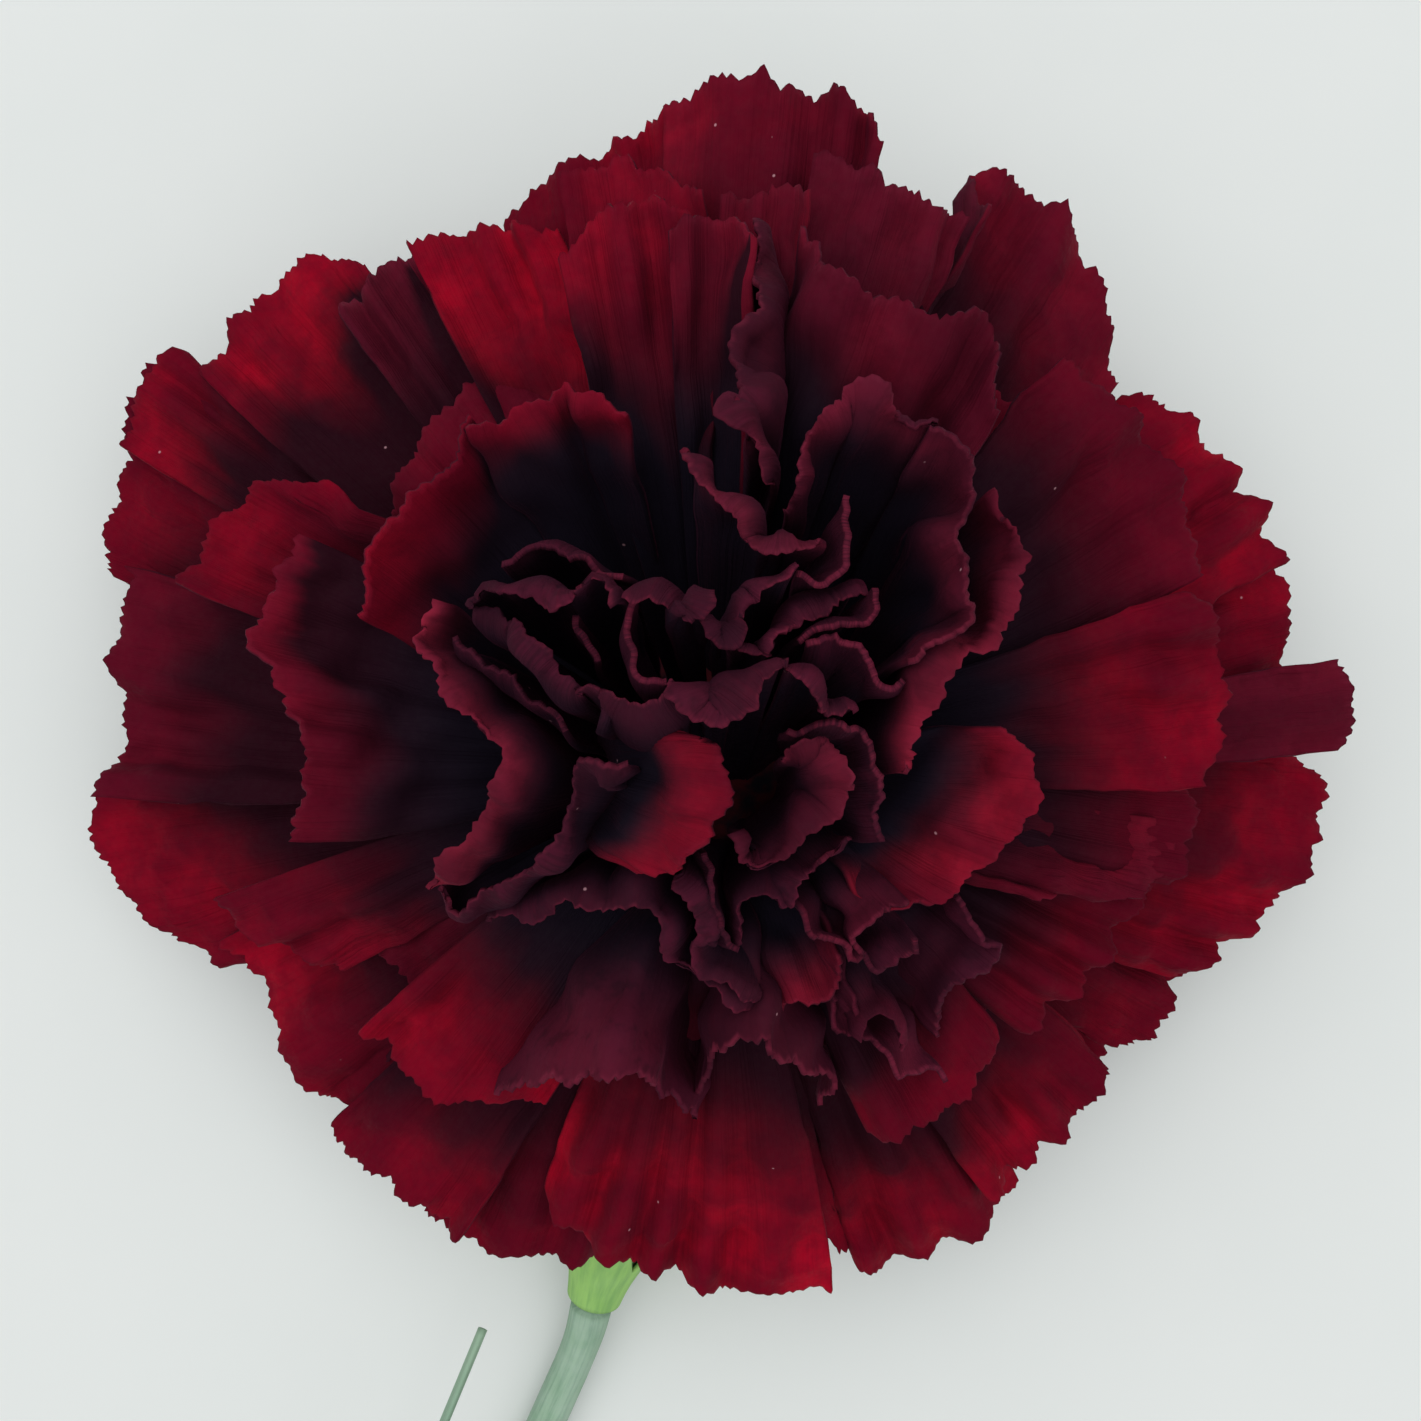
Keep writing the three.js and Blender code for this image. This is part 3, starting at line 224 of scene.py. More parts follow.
INNER_PETALS = [
    # the cup on the right and the strap round it
    (5, 80, 0.1, 2, [(4.2, 11.8, 39), (5.1, 13.6, 40), (5.5, 16.2, 41), (7.7, 18.9, 42),
     (9.6, 18.9, 42), (11.4, 17.3, 41), (13.4, 16.9, 41)], 1.1),
    (5, 72, 0.1, 2, [(12.8, 16.4, 41), (15, 15.4, 41), (15.6, 13, 40), (14.5, 10.6, 40),
     (15.5, 7.6, 40), (15.4, 5.6, 40), (11.6, 2.9, 40)], 0.8),
    (5, 82, 0.1, 2, [(16.5, 12.8, 35), (18.2, 10.4, 36), (18.5, 7.2, 37), (16.6, 4.2, 38),
     (14, 2.4, 39), (12.8, -0.6, 39), (11.6, -3.8, 38)], 1.5),
    # the two curled bands above the middle
    (5, 82, 0.1, 2, [(-1.4, 15.6, 40), (-0.9, 13.6, 41), (1.5, 11.6, 42), (2.2, 10, 42),
     (3.6, 8.9, 42), (5.4, 9.1, 42), (6.6, 10.2, 41)], -1.2),
    (5, 82, 0.1, 1, [(7.9, 12.6, 40), (8.1, 10.2, 41), (7.6, 8.3, 41), (6.4, 7.5, 41),
     (5, 8, 41)], 0.6),
    (7, 82, 0.1, 2, [(2.6, 28.6, 33), (2.3, 24.5, 36), (1.6, 20.6, 38), (2, 18.8, 39), (0.8, 17.9, 40),
     (1.8, 16, 40), (3.4, 13.2, 39)], -2.1),
    # the hollow on the left and the petals that lean over it
    (5, 82, 0.1, 2, [(-14.4, 6.2, 38), (-13.2, 7.2, 39), (-11.2, 6.7, 40), (-9.8, 6.3, 40),
     (-8.4, 6.4, 41), (-6.9, 7.3, 41), (-5.5, 6.2, 41)], -1.2),
    (5, 82, 0.1, 2, [(-7.4, 1.1, 40), (-8.8, 2.2, 40), (-10.3, 4, 40), (-11.2, 5.5, 39),
     (-13.8, 6.1, 37)], -1.2),
    (5, 82, 0.1, 2, [(-8, 1.1, 40), (-6.7, 1.4, 41), (-5.4, 0.5, 41), (-4.2, 0.1, 41),
     (-2.2, 0.8, 41)], 1.3),
    (5, 84, 0.1, 1, [(-5, 6.6, 41), (-4.5, 4.8, 41), (-3.9, 2.6, 41), (-2.5, 1.9, 41)], 0.6),
    (5, 84, 0.1, 1, [(-8, 5.6, 39), (-7.7, 4.4, 39), (-7.2, 2.8, 39)], 0.3),
    # the small petals of the middle
    (5, 80, 0.1, 2, [(-5, 6.9, 42), (-3.9, 6.3, 42), (-2.7, 5.5, 42), (-1.4, 4.8, 43), (-0.5, 5.6, 43),
     (-0.2, 7, 43)], -1.8),
    (5, 80, 0.1, 2, [(-0.2, 5.6, 42), (0.2, 4.4, 42), (1, 4, 42), (2, 4.8, 42), (2.1, 5.9, 42),
     (3.1, 6.5, 42), (5, 8.6, 42)], -1.4),
    (5, 80, 0.1, 2, [(0.8, 4, 41), (2.4, 3.3, 41), (3.6, 3, 41), (4.4, 4, 41), (5.6, 5.4, 40),
     (9.1, 7.1, 39)], -1.4),
    (5, 80, 0.1, 1, [(9.6, 7.2, 40), (9.5, 5.7, 40), (8, 4.8, 40), (5.2, 4.1, 40)], 0.8),
    (5, 80, 0.1, 1, [(5.6, 3.9, 40), (7.4, 4.4, 40), (8.7, 3.8, 40), (9.6, 1.8, 40),
     (11.2, 2.1, 39)], 0.6),
    (5, 78, 0.1, 2, [(-2.4, 1.8, 42), (-1.4, 0.2, 43), (-0.4, -0.6, 43), (0.9, -0.9, 43),
     (2.7, 0.9, 43), (4.7, 2.5, 43)], -2.4),
    (5, 80, 0.1, 1, [(4.4, 2.4, 42), (5.4, 1.5, 42), (6.6, 0.2, 41), (8.6, 0, 40)], -1),
    (5, 25, 0.2, 2, [(-1.8, -1.2, 40), (0.2, -2, 41), (1.2, -3.8, 41), (0.9, -5.6, 41),
     (-0.2, -7.2, 40), (-1.2, -8.8, 39), (-2.6, -9.8, 38),
     (-4.4, -9.4, 36)], 0, (-5.5, -4.5)),
    (5, 82, 0.1, 2, [(4.3, -3, 39), (5.2, -1.8, 40), (6.8, -1.3, 40), (8, -3.4, 40), (7.5, -5.8, 39),
     (5.4, -7.6, 39), (3, -9.4, 38), (1.5, -8.8, 38), (1.3, -7.2, 38)], 1.2),
    (5, 82, 0.1, 2, [(4.6, -0.6, 39), (7.4, -0.7, 40), (9, -1.8, 39), (9.9, -4, 38),
     (9.8, -7.8, 36)], 0.6),
    # the left rim and the bands below the middle
    (5, 82, 0.1, 2, [(-16.8, -10.2, 34), (-15, -8, 36), (-13.2, -5.6, 37), (-12.4, -4, 38),
     (-12.8, -2.4, 38), (-15.6, 1, 37), (-17, 3.8, 36), (-16.2, 6.4, 35)], 1.3),
    (5, 82, 0.1, 2, [(-16, -10.4, 32), (-15, -11.8, 32), (-11.8, -9.8, 35), (-9.6, -8, 37),
     (-8.3, -5.6, 38), (-7.8, -3.6, 39), (-6.6, -2.5, 40), (-4.8, -3.2, 40)], 0.9),
    (5, 82, 0.1, 2, [(2.8, -17.5, 31), (-0.6, -15.9, 33), (-2.4, -14.8, 34), (-3.4, -12.6, 35),
     (-4.4, -11.4, 35), (-6.4, -11.6, 35), (-8.2, -11.1, 34), (-10, -12.3, 33),
     (-13.4, -12.2, 30)], 1.2),
    (5, 82, 0.1, 2, [(2.6, -17, 32), (-0.2, -15.4, 34), (-1.1, -14, 35), (-0.9, -12.8, 35),
     (-2.1, -9.7, 36)], 1.2),
    (5, 84, 0.1, 1, [(-0.4, -8.4, 36), (0, -10.3, 36), (0.6, -12, 35), (1.5, -14.2, 34)], 0.5),
    (5, 80, 0.1, 2, [(1.4, -13.9, 33), (2.1, -11.8, 34), (3.2, -11.1, 34), (4.8, -11.5, 34),
     (5.6, -9.6, 35), (8, -7.6, 35)], -0.9),
    # the small petals of the near side, right
    (5, 35, 0.2, 1, [(5.6, -11.6, 34), (6.2, -12.6, 34), (8.8, -14.6, 32), (8.8, -12.9, 33),
     (11.6, -11.2, 33)]),
    (5, 25, 0.2, 1, [(3.6, -18, 30), (5, -17.1, 31), (7.1, -16.9, 31), (7.8, -15.6, 31),
     (7.8, -14.4, 32)]),
    (5, 45, 0.2, 1, [(12, -13.4, 32), (11.6, -14.2, 32), (10, -15.1, 31), (8.6, -14.8, 31)]),
    (5, 35, 0.3, 2, [(14.8, -10.8, 30), (15.6, -12.4, 30), (17.2, -14, 29), (16.2, -15.4, 29),
     (13.6, -17, 28), (13, -19, 26)]),
    (5, 12, 0.2, 1, [(7, -17, 29), (8.2, -19.3, 28), (8.7, -17, 29)]),
    (5, 40, 0.2, 2, [(8.8, -19, 28), (10.4, -20.3, 28), (12, -21.1, 27.6), (13.6, -21.9, 27.2)]),
    (5, 45, 0.2, 1, [(11.3, -20, 28.4), (11, -18.8, 29), (9.9, -18.2, 29), (8.9, -19.2, 28.6)], 0.9),
    (5, 8, 0.3, 2, [(17.2, -1, 33), (19, -3, 33), (19.3, -5.4, 33), (17.7, -7.8, 32), (15, -10, 32),
     (12.8, -11.6, 32), (10.4, -11.4, 33)]),
    # the shaded back of the cup on the left, and two more round the hollow
    (6, 62, 0.3, 2, [(-14.4, 17, 36), (-12, 17.1, 36), (-8.4, 19.2, 36), (-5, 17.4, 37)], 0.9),
    (5, 76, 0.1, 1, [(-12.2, 8.4, 37), (-9.8, 9.6, 38), (-7.4, 9.2, 39), (-5.2, 7.6, 40)], -0.8),
    (5, 76, 0.1, 1, [(-15, 4.4, 36), (-12.8, 2.4, 37), (-10.4, 0.2, 37), (-8.4, -1, 37)], 0.8),
]
BETWEEN_PETALS = [
    # between the outer and the middle ones: two on the far side, one on the right, one on the left
    (10, -8, 0.4, 2, [(-8.6, 31.4, 26), (-5.8, 32.4, 27), (-2.6, 31.6, 28), (-0.4, 30.2, 29)]),
    (9, -4, 0.3, 2, [(0.6, 29.8, 31), (3.2, 30.4, 31), (5.8, 30.8, 30)]),
    (7, -20, 0.4, 2, [(27.9, -6.6, 25), (27.3, -9.4, 25), (23.6, -10.9, 26), (18.6, -10.9, 27)]),
    (8, -16, 0.4, 2, [(-34.7, 15.6, 13), (-33.8, 18.4, 13), (-31.9, 20.7, 13), (-30.2, 20, 13)]),
]

# Finer folds than the solid model's: their pitch, their height, and from which share of the petal
BROAD_RUFFLES = ((12.0, 0.50, 0.3), (6.5, 0.11, 0.6), (2.8, 0.06, 0.86))
TIGHT_RUFFLES = ((6.5, 0.35, 0.35), (3.1, 0.20, 0.6), (1.5, 0.09, 0.84))

# The look of each petal: its painted light from dark to lit, the share of its length that stays in painted
# shade, how mauve it is, and on which side its painted shade reaches further, -1 for where its edge starts
# and 1 for where it ends
OUTER_LOOKS = [
    (0.4, 0.75, 0.2, 0.5), (0.25, 0.85, 0.4, 0), (0.3, 0.8, 0.2, -0.4), (0.6, 0.75, 0, -0.3),
    (0.5, 0.7, 0, 0), (0.2, 0.6, 0.4, 0), (0.5, 0.7, 0, -0.4), (0.35, 0.8, 0, 0), (0.5, 0.8, 0, 0.3),
    (0.6, 0.75, 0, -0.4), (0.98, 0.6, 0, 0.3), (0.35, 0.8, 0, -0.4), (0.4, 0.8, 0, 0.4),
    (0.5, 0.75, 0, -0.4), (0.5, 0.75, 0, 0.4), (0.15, 0.9, 0.2, 0), (0.35, 0.85, 0, -0.4),
    (0.98, 0.9, 0, 0.55), (0.2, 0.9, 0.5, 0.7), (0.7, 0.65, 0, -0.45), (0.55, 0.8, 0, 0.4),
]
MIDDLE_LOOKS = [
    (0.5, 0.7, 0.1, -0.7), (0.3, 0.85, 0.3, 0.7), (0.25, 0.8, 0.4, -0.6), (0.2, 0.8, 0.1, -0.3),
    (0.55, 0.7, 0, 0), (0.25, 0.8, 0.1, 0), (0.3, 0.8, 0, 0), (0.35, 0.78, 0, 0.4), (0.2, 0.6, 0.9, 0),
    (0.6, 0.7, 0, -0.4), (0.4, 0.75, 0.1, 0), (0.32, 0.93, 0.3, 0.4), (0.4, 0.85, 0, 0),
    (0.45, 0.85, 0.1, 0.8),
]
INNER_LOOKS = [
    (0.35, 0.85, 0.8), (0.3, 0.85, 0.8), (0.5, 0.75, 0.7), (0.35, 0.8, 0.8), (0.15, 0.8, 1),
    (0.3, 0.7, 0.8), (0.1, 0.85, 1), (0.1, 0.85, 1), (0.1, 0.85, 1), (0.2, 0.8, 1), (0.1, 0.8, 1),
    (0.1, 0.85, 1), (0.1, 0.85, 1), (0.1, 0.8, 1), (0.1, 0.8, 1), (0.1, 0.8, 1), (0.2, 0.75, 1),
    (0.1, 0.8, 1), (0.7, 0.92, 0.2), (0.35, 0.75, 0.8), (0.1, 0.8, 1), (0.98, 0.8, 0.8), (0.1, 0.85, 1),
    (0.15, 0.8, 1), (0.2, 0.8, 1), (0.1, 0.8, 1), (0.2, 0.8, 1), (0.25, 0.75, 0.8), (0.45, 0.8, 0.4),
    (0.15, 0.75, 1), (0.15, 0.75, 1), (0.35, 0.8, 0.9), (0.3, 0.75, 1), (0.35, 0.75, 0.9),
    (0.65, 0.72, 0.3, -0.5), (0.5, 0.88, 0.2), (0.1, 0.9, 1), (0.1, 0.9, 1),
]
BETWEEN_LOOKS = [(0.4, 0.85, 0.1, 0), (0.45, 0.85, 0.3, 0), (0.35, 0.7, 0.3, 0), (0.55, 0.9, 0, 0)]

# The layers. Their petals leave the bundle of claws at a level above the calyx and out to a ring
LAYERS = [
    {"name": "petals_guard", "petals": GUARD_PETALS, "level": 1, "ring": 4.6, "teeth": 1.0,
     "looks": [(0.3, 0.6, 0)] * 8, "ruffles": BROAD_RUFFLES},
    {"name": "petals_outer", "petals": OUTER_PETALS, "level": 3, "ring": 5, "teeth": 1.0,
     "looks": OUTER_LOOKS, "ruffles": BROAD_RUFFLES},
    {"name": "petals_middle", "petals": MIDDLE_PETALS, "level": 6, "ring": 5.2, "teeth": 0.8,
     "looks": MIDDLE_LOOKS, "ruffles": BROAD_RUFFLES},
    {"name": "petals_inner", "petals": INNER_PETALS, "level": 9, "ring": 6.5, "teeth": 0.55,
     "looks": INNER_LOOKS, "ruffles": TIGHT_RUFFLES},
    {"name": "petals_between", "petals": BETWEEN_PETALS, "level": 4.5, "ring": 5, "teeth": 1.0,
     "looks": BETWEEN_LOOKS, "ruffles": BROAD_RUFFLES},
    {"name": "petals_lower_middle", "petals": LOWER_MIDDLE_PETALS, "level": 4.5, "ring": 4.8, "teeth": 0.8,
     "looks": [(0.25, 0.7, 0.2)] * 7, "ruffles": BROAD_RUFFLES},
]
STEM_PATH = [
    (-7.9, -39.6, 3.9), (-8.9, -43.2, 2.6), (-11.8, -50, 1.6), (-16.4, -61, 1.6), (-24.4, -84, 2.4),
    (-31, -110, 3.2), (-36, -138, 2.6), (-39.4, -166, 2.2), (-41, -196, 1.8),
]
LEAVES = [
    {"name": "leaf_upper_left", "node": 0, "side": 178, "half_width": 2.5,
     "path": [(-0.5, 8.3, 1.3), (3, 22.3, 4.8), (8, 34.3, 6.3), (11.2, 41.8, 6.1), (14, 48.5, 5.3)]},
    {"name": "leaf_upper_right", "node": 0, "side": 2, "half_width": 2.4,
     "path": [(4.6, 6.5, 0.6), (15, 15, 4.5), (30, 20, 7), (46, 19, 4), (57, 14, -1)]},
    {"name": "leaf_lower_left", "node": 1, "side": 140, "half_width": 2.7,
     "path": [(-4, 7, 3), (-12, 20, 9), (-24, 36, 12), (-37, 50, 8), (-47, 60, -1.4)]},
    {"name": "leaf_lower_right", "node": 1, "side": 8, "half_width": 2.7,
     "path": [(4, 8, 1), (10, 22, 3.2), (21, 42, 4), (34, 58, 2), (46, 68, -1.6)]},
]


# Helpers
def unit(vector):
    return vector / np.maximum(np.linalg.norm(vector, axis=-1, keepdims=True), 1e-9)


def direction(rise, bearing):
    up = math.radians(rise)
    turn = math.radians(bearing)
    return np.array([math.cos(up) * math.sin(turn), math.cos(up) * math.cos(turn), math.sin(up)])


def smooth(low, high, value):
    share = np.clip((value - low) / (high - low), 0.0, 1.0)
    return share * share * (3 - 2 * share)


def seeded(number):
    wave = math.sin(number * 12.9898 + 4.137) * 43758.5453
    return wave - math.floor(wave)


CALYX_DIRECTION = direction(CALYX_RISE, CALYX_BEARING)
NECK_DIRECTION = direction(NECK_RISE, 0)
BLOOM_DIRECTION = direction(BLOOM_RISE, 0)
MOUTH = CALYX_BASE + CALYX_DIRECTION * CALYX_LENGTH


def seen(place):
    """A place laid out as seen from EYE_HEIGHT, as a true place."""
    x, y, height = place
    scale = (EYE_HEIGHT - height) / (EYE_HEIGHT - PLAN_HEIGHT)
    return np.array([x * scale, y * scale, height])


class Route:
    """A smooth curve through places, by share of its length."""

    STEPS = 60
    WAY_STEP = 0.004

    def __init__(self, places):
        places = np.array(places, float)
        first = 2 * places[0] - places[1]
        last = 2 * places[-1] - places[-2]
        held = np.vstack([first, places, last])
        share = np.linspace(0, 1, self.STEPS, endpoint=False)[:, None]
        squared = share**2
        cubed = share**3
        spans = []
        for i in range(1, len(held) - 2):
            start, end = held[i], held[i + 1]
            leave = 0.5 * (end - held[i - 1])
            arrive = 0.5 * (held[i + 2] - start)
            spans.append((2 * cubed - 3 * squared + 1) * start + (cubed - 2 * squared + share) * leave
                         + (3 * squared - 2 * cubed) * end + (cubed - squared) * arrive)
        self.places = np.vstack([*spans, places[-1:]])
        steps = np.linalg.norm(np.diff(self.places, axis=0), axis=1)
        self.shares = np.concatenate([[0], np.cumsum(steps)])
        self.length = self.shares[-1]
        self.shares /= self.length

    def at(self, share):
        share = np.asarray(share, float)
        return np.stack([np.interp(share, self.shares, self.places[:, i]) for i in range(3)], axis=-1)

    def way(self, share):
        share = np.asarray(share, float)
        ahead = self.at(np.minimum(share + self.WAY_STEP, 1))
        behind = self.at(np.maximum(share - self.WAY_STEP, 0))
        return unit(ahead - behind)


def link_in(thing):
    bpy.context.scene.collection.objects.link(thing)


def mesh_piece(name, places, faces, stands_for, maps=()):
    """A piece from places in millimetres and faces of four corners, with UV maps given per place."""
    mesh = bpy.data.meshes.new(name)
    corners = np.asarray(faces, np.int32)
    points = (np.asarray(places) + ORIGIN_SHIFT) * MM
    mesh.vertices.add(len(points))
    mesh.vertices.foreach_set("co", points.astype(np.float32).ravel())
    mesh.loops.add(corners.size)
    mesh.loops.foreach_set("vertex_index", corners.ravel())
    mesh.polygons.add(len(corners))
    mesh.polygons.foreach_set("loop_start", np.arange(0, corners.size, corners.shape[1], dtype=np.int32))
    mesh.update(calc_edges=True)
    for map_name, values in maps:
        layer = mesh.uv_layers.new(name=map_name)
        layer.uv.foreach_set("vector", np.asarray(values, np.float32)[corners.ravel()].ravel())
    mesh.shade_smooth()
    piece = bpy.data.objects.new(name, mesh)
    link_in(piece)
    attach(piece, "root")
    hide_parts(stands_for)
    return piece


def grid_faces(rows, columns, first=0, turned=False):
    """The faces of a grid of places, row by row."""
    numbers = first + np.arange(rows * columns).reshape(rows, columns)
    corners = [numbers[:-1, :-1], numbers[:-1, 1:], numbers[1:, 1:], numbers[1:, :-1]]
    faces = np.stack(corners, axis=-1).reshape(-1, 4)
    return faces[:, ::-1] if turned else faces


def normals_of(grid):
    across = np.gradient(grid, axis=1)
    along = np.gradient(grid, axis=0)
    return unit(np.cross(across, along))


def closed_blade(grid, normals, thickness):
    """A thin closed blade on a grid: its places, those of the upper face first, and its faces."""
    rows, columns = grid.shape[:2]
    half = np.asarray(thickness) / 2
    if half.ndim:
        half = half[..., None]
    upper = (grid + normals * half).reshape(-1, 3)
    lower = (grid - normals * half).reshape(-1, 3)
    count = rows * columns
    numbers = np.arange(count).reshape(rows, columns)
    rim = np.concatenate([numbers[0], numbers[1:, -1], numbers[-1, -2::-1], numbers[-2:0:-1, 0]])
    after = np.roll(rim, -1)
    sides = np.stack([after, rim, rim + count, after + count], axis=-1)
    faces = np.vstack([grid_faces(rows, columns), grid_faces(rows, columns, count, turned=True), sides])
    return np.vstack([upper, lower]), faces


# Petals
def cuts(length, pitch, depth, sharpness, dice, stations):
    """How far a cut edge stands out at each station: a row of teeth of uneven width and height."""
    notches = [-dice.uniform(0, pitch)]
    while notches[-1] < length:
        notches.append(notches[-1] + pitch * dice.uniform(*CUT_WIDTHS))
    notches = np.array(notches)
    heights = depth * dice.uniform(*CUT_HEIGHTS, len(notches))
    which = np.clip(np.searchsorted(notches, stations, side="right") - 1, 0, len(notches) - 2)
    share = (stations - notches[which]) / (notches[which + 1] - notches[which])
    return heights[which] * (1 - np.abs(2 * share - 1) ** sharpness)


def petal_grid(shape, layer, seed):
    """A petal's middle surface on a grid, its upper normals, and its across, up and valley values."""
    lift, slope, wave, folds, edge_places, *rolled = shape
    curl = rolled[0] if rolled else 0.0
    own_claw = rolled[1] if len(rolled) > 1 else None
    edge = Route([seen(place) for place in edge_places])
    ends = edge.places[-1] - edge.places[0]
    centre = MOUTH + NECK_DIRECTION * layer["level"]
    if own_claw:
        centre = np.array([*own_claw, centre[2]])
    heading = edge.at(0.5) - centre
    heading = heading - BLOOM_DIRECTION * heading.dot(BLOOM_DIRECTION)
    outness = 0.0 if own_claw else min(layer["ring"], np.linalg.norm(heading) * OUTNESS)
    heading = unit(heading)
    side = np.cross(BLOOM_DIRECTION, heading)
    turned = -1.0 if ends.dot(side) < 0 else 1.0
    side = side * turned
    base = centre + heading * outness
    forward = unit((edge.at(0.5) - base) * [1, 1, 0])
    tilt = math.radians(slope)
    phase = seeded(seed) * 2 * math.pi
    dice = np.random.default_rng(FOLD_SEED + seed)

    columns = max(LEAST_COLUMNS, int(edge.length / COLUMN_WIDTH))
    u = np.linspace(-1, 1, columns + 1)[None, :]
    rise = np.linspace(0, 1, PETAL_ROWS + 1)[:, None]
    v = 1 - (1 - rise) ** ROW_SPACING
    stations = (u[0] + 1) / 2 * edge.length
    rolling = unit(np.cross(UP, edge.way((u[0] + 1) / 2) * [1, 1, 0]))
    roll = rolling * (curl * (1 - ROLL_FADE * u[0] ** 4))[:, None] - UP * (abs(curl) * ROLL_DROP)
    tip = edge.at((u[0] + 1) / 2) - roll
    root = base + side * (u[0] * CLAW_HALF_WIDTH)[:, None]
    shoulder = root + BLOOM_DIRECTION * lift
    out = (tip - shoulder) * [1, 1, 0]
    fullness = np.maximum(FULLNESS, 1 - np.linalg.norm(out, axis=-1) / STEADY_REACH)[:, None]
    out = unit(unit(out) * (1 - fullness) + forward * fullness)
    out = out * math.cos(tilt) + UP * math.sin(tilt)
    length = np.linalg.norm(tip - root, axis=-1)
    pull = PULL + UPRIGHT_PULL * float(smooth(UPRIGHT_FROM, UPRIGHT_TO, slope))
    neck = tip - out * (pull * length)[:, None]
    t = (v + min(1.0, abs(curl)) * v * v * (1 - v))[..., None]
    grid = ((1 - t) ** 3 * root + 3 * (1 - t) ** 2 * t * shoulder
            + 3 * (1 - t) * t ** 2 * neck + t ** 3 * tip)
    short_wave, long_wave = (stations / wavelength for wavelength in ROLL_WAVES)
    uneven_roll = 1 + UNEVEN_ROLL * np.sin(short_wave + phase) * np.sin(long_wave + 3 * phase)
    rolled_out = (np.maximum(0, v - ROLL_FROM) / (1 - ROLL_FROM)) ** 2 * uneven_roll
    grid = grid + roll * rolled_out[..., None]
    uneven = u + UNEVEN_FOLDS * np.sin(UNEVEN_TURN * u + 2 * phase)
    uneven = uneven + dice.uniform(-FOLD_DRIFT, FOLD_DRIFT) * np.sin(math.pi * v)
    depth = wave * v * v * np.sin(math.pi * folds * uneven + phase)
    depth = depth + ruffle(layer["ruffles"], stations[None, :], v, dice)
    eased = 1 - LUMPS_EASED * smooth(*LUMPS_EASE, v)
    depth = depth + lumps(grid, seed) * smooth(*LUMPS_RISE, v) * eased
    valley = np.clip(0.5 + 0.5 * turned * depth / FOLD_HEIGHT, 0, 1)
    grid = grid + normals_of(grid) * depth[..., None]

    reach = cuts(edge.length, TOOTH_PITCH, TOOTH_DEPTH, TOOTH_SHARPNESS, dice, stations)
    reach += cuts(edge.length, LOBE_PITCH, LOBE_DEPTH, LOBE_SHARPNESS, dice, stations)
    reach = (reach - reach.mean()) * layer["teeth"]
    onwards = unit(grid[-1] - grid[-4])
    grid = grid + onwards * (smooth(CUTS_FROM, 1.0, v) * reach)[..., None]
    grid[..., 2] = np.maximum(grid[..., 2], PETAL_THICKNESS / 2 + CLEARANCE)
    maps = np.stack([u * 0.5 + 0.5 + 0 * v, v + 0 * u, valley], axis=-1)
    normals = -turned * normals_of(grid)
    if turned > 0:
        grid, normals, maps = grid[:, ::-1], normals[:, ::-1], maps[:, ::-1]
    return grid, normals, maps


def ruffle(ruffles, stations, t, dice):
    """Folds that wander across the petal: soft along it, tighter at its edge."""
    depth = 0.0
    for pitch, height, start in ruffles:
        around = 2 * math.pi * stations / (pitch * dice.uniform(*RUFFLE_PITCHES))
        turn, other_turn = dice.uniform(0, 2 * math.pi, 2)
        drift = dice.uniform(-RUFFLE_DRIFT, RUFFLE_DRIFT) * np.sin(3.2 * t + other_turn)
        swell = 0.65 + 0.35 * np.sin(0.37 * around + 2.2 * t + other_turn)
        depth = depth + height * swell * smooth(start, 1.0, t) * np.sin(around + turn + drift)
    return depth


def lumps(grid, seed):
    """Low swellings all over a petal, in no one direction."""
    dice = np.random.default_rng(LUMP_SEED + seed)
    height = 0.0
    for pitch in LUMP_PITCHES:
        turn, start = dice.uniform(0, 2 * math.pi, 2)
        along = grid[..., 0] * math.cos(turn) + grid[..., 1] * math.sin(turn)
        height = height + LUMP_HEIGHT * np.sin(2 * math.pi * along / pitch + start)
    return height


def petals_piece(name, layer, first_seed, material):
    """All petals of one layer as one piece."""
    places, faces, petal_map, side_map, tone_map, mauve_map = [], [], [], [], [], []
    count = 0
    for number, shape in enumerate(layer["petals"]):
        seed = first_seed + number
        grid, normals, maps = petal_grid(shape, layer, seed)
        spots, quads = closed_blade(grid, normals, PETAL_THICKNESS)
        half = len(spots) // 2
        places.append(spots)
        faces.append(quads + count)
        across, up, valley = np.tile(maps.reshape(-1, 3), (2, 1)).T
        side = np.repeat([0.0, 1.0], half)
        valley = np.where(side > 0, 1 - valley, valley)
        petal_map.append(np.stack([across, up], axis=-1))
        side_map.append(np.stack([side, valley], axis=-1))
        # painted light and shade of this petal: how lit it is painted, how far up its painted shade
        # reaches, and on which side that shade reaches further
        painted_light, shade, mauve, *shaded_side = layer["looks"][number]
        tone_map.append(np.tile([painted_light + seed, shade], (2 * half, 1)))
        mauve_map.append(np.tile([mauve, shaded_side[0] if shaded_side else 0.0], (2 * half, 1)))
        count += len(spots)
    piece = mesh_piece(name, np.vstack(places), np.vstack(faces), "bloom",
                       (("petal", np.vstack(petal_map)), ("side", np.vstack(side_map)),
                        ("painted_light", np.vstack(tone_map)), ("mauve", np.vstack(mauve_map))))
    piece.data.materials.append(material)
    return piece


def circle(centre, way, radius, sides):
    across = unit(np.cross(way, UP))
    over = unit(np.cross(across, way))
    angle = np.linspace(0, 2 * math.pi, sides, endpoint=False)[:, None]
    return centre + across * (radius * np.cos(angle)) - over * (radius * np.sin(angle))


def ring_faces(rings, sides):
    numbers = np.arange(rings * sides).reshape(rings, sides)
    after = np.roll(numbers, -1, axis=1)
    return np.stack([numbers[:-1], after[:-1], after[1:], numbers[1:]], axis=-1).reshape(-1, 4)


def along_calyx(distance):
    return CALYX_BASE + CALYX_DIRECTION * distance


